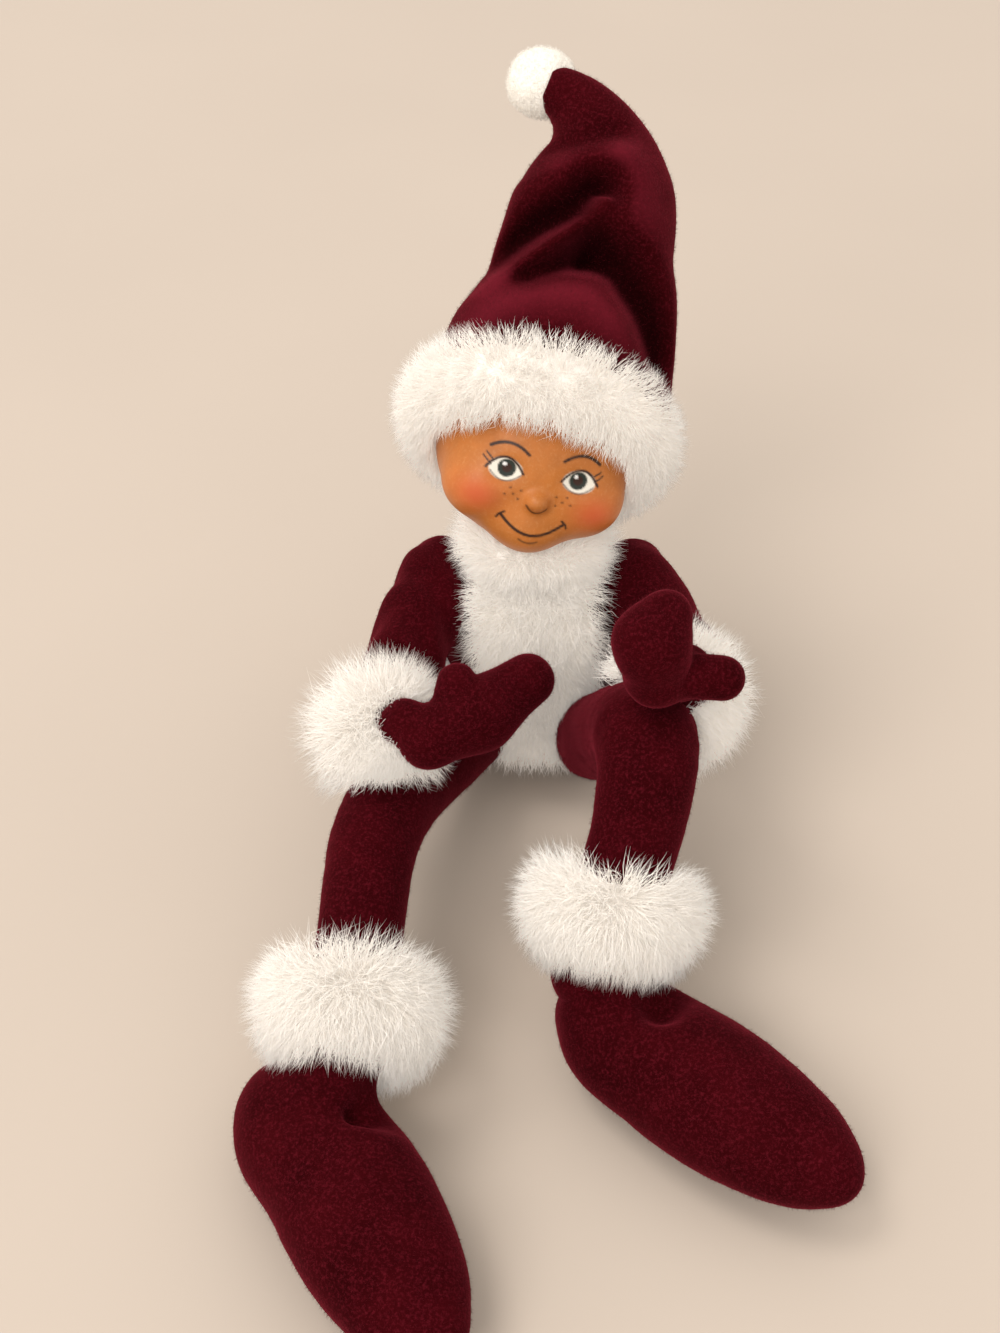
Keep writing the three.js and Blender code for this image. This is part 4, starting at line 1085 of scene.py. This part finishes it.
def make_hat_band(seed):
    def pile(across, normal):
        return 0.25 * across * BRIM_UP - 0.15 * UP, np.full(len(normal), 7.0)

    ring = (BRIM, BRIM_AXES, (26.9, 25.5), 9.4, 7.4)
    fur_ring("hat_band", "head", "hat_band_fur", ring, 21000, (-1.6, 1.6), pile, seed,
             spread=0.27, tuft=0.5, per_tuft=36, width=0.1)


def make_cuff(side, share, shift, outer, length, skew, avoid, seed):
    elbow, wrist = pivots(side, "elbow", "wrist")
    way = unit(wrist - elbow)
    centre = elbow + (wrist - elbow) * share + shift
    inner = 2.6

    def pile(across, normal):
        return 0.35 * across * way - 0.25 * UP, length * (1 + skew * normal[:, 0])

    ring = (centre, axes_along(way, SIDEWAYS), (inner, inner), 8.0, outer - inner)
    name = side + "_cuff"
    fur_ring(name, side + "_forearm", name + "_fur", ring, 16000, (-1.45, 2.2), pile, seed,
             spread=0.24, tuft=0.4, per_tuft=28, avoid=avoid)


def make_ankle(side, above, aside, length, seed):
    ankle, knee = pivots(side, "ankle", "knee")
    way = unit(ankle - knee)
    centre = ankle - way * above + SIDEWAYS * aside

    def pile(across, normal):
        return 0.45 * across * way + 0.75 * way - 0.12 * UP, np.full(len(normal), length)

    ring = (centre, axes_along(way, SIDEWAYS), (11.5, 11.5), 7.0, 4.2)
    name = side + "_ankle"
    fur_ring(name + "_band", side + "_shin", name + "_fur", ring, 14500, (-1.1, 1.5), pile, seed,
             spread=0.24, tuft=0.45, per_tuft=34)


def make_collar(seed):
    def pile(across, normal):
        ahead = np.clip(-normal[:, 1], 0, 1)
        return 0.3 * across * UP - (0.1 + 0.9 * ahead)[:, None] * UP, 9.0 - 1.5 * ahead

    centre = pivot("neck_nod") + SIDEWAYS * FRONT_MIDDLE
    ring = (centre, axes_along((0.0, 0.12, 1.0), SIDEWAYS), (11.5, 11.0), 5.5, 5.0)
    fur_ring("collar", "torso", "collar_fur", ring, 9000, (-1.45, 1.45), pile, seed,
             spread=0.26, tuft=0.35, per_tuft=28)


def strip_core(spots, normals, rows, columns, thick):
    """A closed strip: a grid of skin places, and the same grid raised along their normals."""
    points = np.concatenate([spots - 0.6 * normals, spots + thick * normals])
    sheet = grid_faces(rows, columns)
    total = rows * columns
    edge = np.concatenate([
        np.arange(columns),
        np.arange(1, rows) * columns + columns - 1,
        (rows - 1) * columns + np.arange(columns - 2, -1, -1),
        np.arange(rows - 2, 0, -1) * columns,
    ])
    after = np.roll(edge, -1)
    wall = np.stack([edge, after, after + total, edge + total], 1)
    a, b, c = (points[sheet[:, i] + total] for i in range(3))
    outward = (np.cross(b - a, c - a) * normals[sheet[:, 0]]).sum() > 0
    top = sheet + total
    if outward:
        return points, np.concatenate([top, sheet[:, ::-1], wall])
    return points, np.concatenate([top[:, ::-1], sheet, wall[:, ::-1]])


def fur_strip(name, node, place, grid, over_span, down_span, thick, count, pile, length, seed, **looks):
    """A fur strip on the jacket: place gives a spot of its skin by how far over and down it is."""
    rng = np.random.default_rng(seed)
    rows, columns = grid
    downs, overs = np.linspace(*down_span, rows), np.linspace(*over_span, columns)
    down, over = np.meshgrid(downs, overs, indexing="ij")
    core = strip_core(*place(over.ravel(), down.ravel()), rows, columns, thick)
    count = int(count * PILE_SHARE)
    over, down = rng.uniform(*over_span, count), rng.uniform(*down_span, count)
    root, normal = place(over, down)
    long = np.full(count, length)
    piece = fur_piece(name, core, root + 2.0 * normal, normal, pile(over, down), long, seed, **looks)
    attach(piece, "torso")
    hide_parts(node)


def make_front(seed):
    half_top, half_low, top, low = 13.0, 12.0, 70.0, 16.0

    def place(u, w):
        x = FRONT_MIDDLE + u * (half_top + (half_low - half_top) * w)
        z = top + (low - top) * w
        start = np.stack([x, np.full(len(x), -60.0), z], 1)
        return trace(torso_field, start, INWARD, 90.0)

    def pile(u, w):
        return (0.65 * u ** 3)[:, None] * SIDEWAYS - (0.40 + 0.30 * w)[:, None] * UP

    fur_strip("front_band", "chest_fur", place, (40, 22), (-1, 1), (0, 1), 2.2, 17000, pile, 11.0, seed,
              spread=0.42, tuft=0.6, per_tuft=44)


def make_hem(seed):
    low, high = 17.0, 29.0
    turns = (-1.2, math.pi + 1.2)

    def place(turn, z):
        way = np.stack([np.cos(turn), np.sin(turn), np.zeros(len(turn))], 1)
        start = TORSO_MIDDLE + way * 70 + z[:, None] * UP
        return trace(torso_field, start, -way, 100.0)

    def pile(turn, z):
        return -0.4 * UP + ((z - low) / (high - low) - 0.4)[:, None] * 0.5 * UP

    fur_strip("hem", "hem_fur", place, (8, 72), turns, (low, high), 2.4, 9000, pile, 9.0, seed,
              spread=0.3, tuft=0.45, per_tuft=28)


def make_pompom(seed):
    rng = np.random.default_rng(seed)
    centre = middle("pompom")
    low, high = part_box("pompom")
    radius = np.subtract(high, low).max() / MM / 2

    def field(p):
        return norm(p - centre, axis=1) - radius + 0.5 - 0.35 * lumps(p, 4.0, seed)

    points, faces = skin(field, centre - radius - 3, centre + radius + 3, POMPOM_STEP)
    count = int(7000 * PILE_SHARE)
    root, normal = scatter(points, faces, count, rng)
    lean = 0.6 * rng.normal(size=normal.shape)
    piece = fur_piece("wool_pompom", (points, faces), root, normal, lean, np.full(count, 1.5), seed,
                      spread=0.6, tuft=0.3, per_tuft=10, width=0.07, hair=WOOL_HAIR, back=WOOL_BACK)
    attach(piece, "hat_tip")
    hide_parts("pompom")


# The pieces, each with its own seed. Places and shifts are in millimetres.
make_sleeve("right", start=(2.0, 0, 0), bend=(4.2, 0, -0.5), sag=(1.0, 0, -3.0), end=(3.6, 0, 1.6),
            seed=200)
make_sleeve("left", start=(-5.0, -1.0, 0), bend=(-4.5, 0, -2.5), sag=(-6.0, 0, -6.5),
            end=(-4.1, -1.1, 2.4), seed=210)
right_leg = make_leg("right", start=pivot("right_hip"), lift=(0, 0, 0), swing=(0.5, 0, 1.0),
                     foot=(0, 0, 0), soft=13.0, ends=(0.9, 0.92), seed=100)
left_leg = make_leg("left", start=(13.0, -18.5, 11.0), lift=(0.8, 0, 3.4), swing=(1.6, 0, 1.5),
                    foot=(-5.5, 0, 0), soft=11.0, ends=(0.84, 0.77), seed=110)
make_boot("right", angle=29.0, outward=11.5, dent=(-41.5, -149.0, 26.0), dent_radius=4.4,
          heel_out=4.0, heel_on=6.0, heel_size=(16.5, 14.0, 13.0), seed=300)
make_boot("left", angle=50.5, outward=-2.5, dent=(28.7, -119.6, 28.4), dent_radius=3.4,
          heel_out=0.0, heel_on=8.5, heel_size=(14.0, 13.0, 12.5), seed=310)
make_jacket(400)
right_mitten = make_mitten(
    "right", heel=(-35.0, -64.0, 64.5), palm=(-29.3, -66.5, 61.7), curl=(-16.6, -59.8, 63.0),
    tip=(-4.8, -50.5, 65.8), thumb=(-23.5, -59.8, 65.5), thumb_tip=(-22.0, -56.0, 70.2),
    radii=(5.4, 7.7, 8.4, 6.9, 5.0), seed=500)
left_mitten = make_mitten(
    "left", heel=(33.0, -62.0, 79.5), palm=(25.6, -66.4, 83.3), curl=(23.9, -66.0, 93.6),
    tip=(27.3, -61.8, 98.8), thumb=(33.0, -66.5, 83.0), thumb_tip=(41.0, -68.0, 83.3),
    radii=(6.6, 8.1, 8.5, 5.6, 5.5), seed=510)
make_head(600)
hat = make_hat(700)
make_hat_band(800)
make_cuff("right", share=0.68, shift=(1.5, -2.5, -5.5), outer=10.8, length=12.0, skew=-0.28,
          avoid=((right_mitten, 0.1), (right_leg, 2.5)), seed=810)
make_cuff("left", share=0.60, shift=(-7.5, -1.0, -8.5), outer=12.7, length=10.5, skew=0.0,
          avoid=((left_mitten, 0.1), (left_leg, 1.5)), seed=820)
make_ankle("right", above=13.5, aside=0.0, length=11.6, seed=830)
make_ankle("left", above=20.0, aside=-2.5, length=11.0, seed=840)
make_collar(850)
make_front(860)
make_hem(870)
make_pompom(880)

for node in frame["nodes"].values():
    if node.name.endswith("_wire"):
        node.data.materials.clear()
        node.data.materials.append(WIRE)

# Floor, light and camera
scene = bpy.context.scene
mesh = bpy.data.meshes.new("floor")
mesh.from_pydata([(-3, -2, 0), (3, -2, 0), (3, 4, 0), (-3, 4, 0)], [], [(0, 1, 2, 3)])
floor = bpy.data.objects.new("floor", mesh)
scene.collection.objects.link(floor)
paper, tree, shader = material("pale_paper", FLOOR, 0.9, {})
tone = noise(tree, size=180.0, detail=2.0)
colour = ramp(tree, tone, 0.3, 0.7, tuple(c * 0.97 for c in FLOOR), FLOOR)
tint(tree, shader, colour)
mesh.materials.append(paper)

for name, place, colour in LIGHTS:
    light = bpy.data.lights.new(name, "AREA")
    light.shape = "DISK"
    light.size = LIGHT_SIZE
    light.energy = LIGHT_POWER
    light.color = colour
    lamp = bpy.data.objects.new(name, light)
    lamp.location = place
    way = np.subtract(LIGHT_AIM, place)
    flat = math.hypot(way[0], way[1])
    lamp.rotation_euler = Euler((math.atan2(flat, -way[2]), 0, math.atan2(-way[0], way[1])))
    scene.collection.objects.link(lamp)
world = bpy.data.worlds.new("studio")
world.use_nodes = True
sky = world.node_tree.nodes["Background"]
sky.inputs["Color"].default_value = SKY_COLOUR
sky.inputs["Strength"].default_value = SKY_STRENGTH
scene.world = world
scene.view_settings.view_transform = "Standard"

lens = bpy.data.cameras.new("camera")
lens.sensor_fit = "VERTICAL"
lens.sensor_height = SENSOR_HEIGHT
lens.lens = LENS_LENGTH
lens.clip_start = 0.01
camera = bpy.data.objects.new("camera", lens)
camera.location = CAMERA_PLACE
camera.rotation_euler = Euler((math.radians(CAMERA_PITCH), 0, 0))
scene.collection.objects.link(camera)
bpy.context.scene.camera = camera
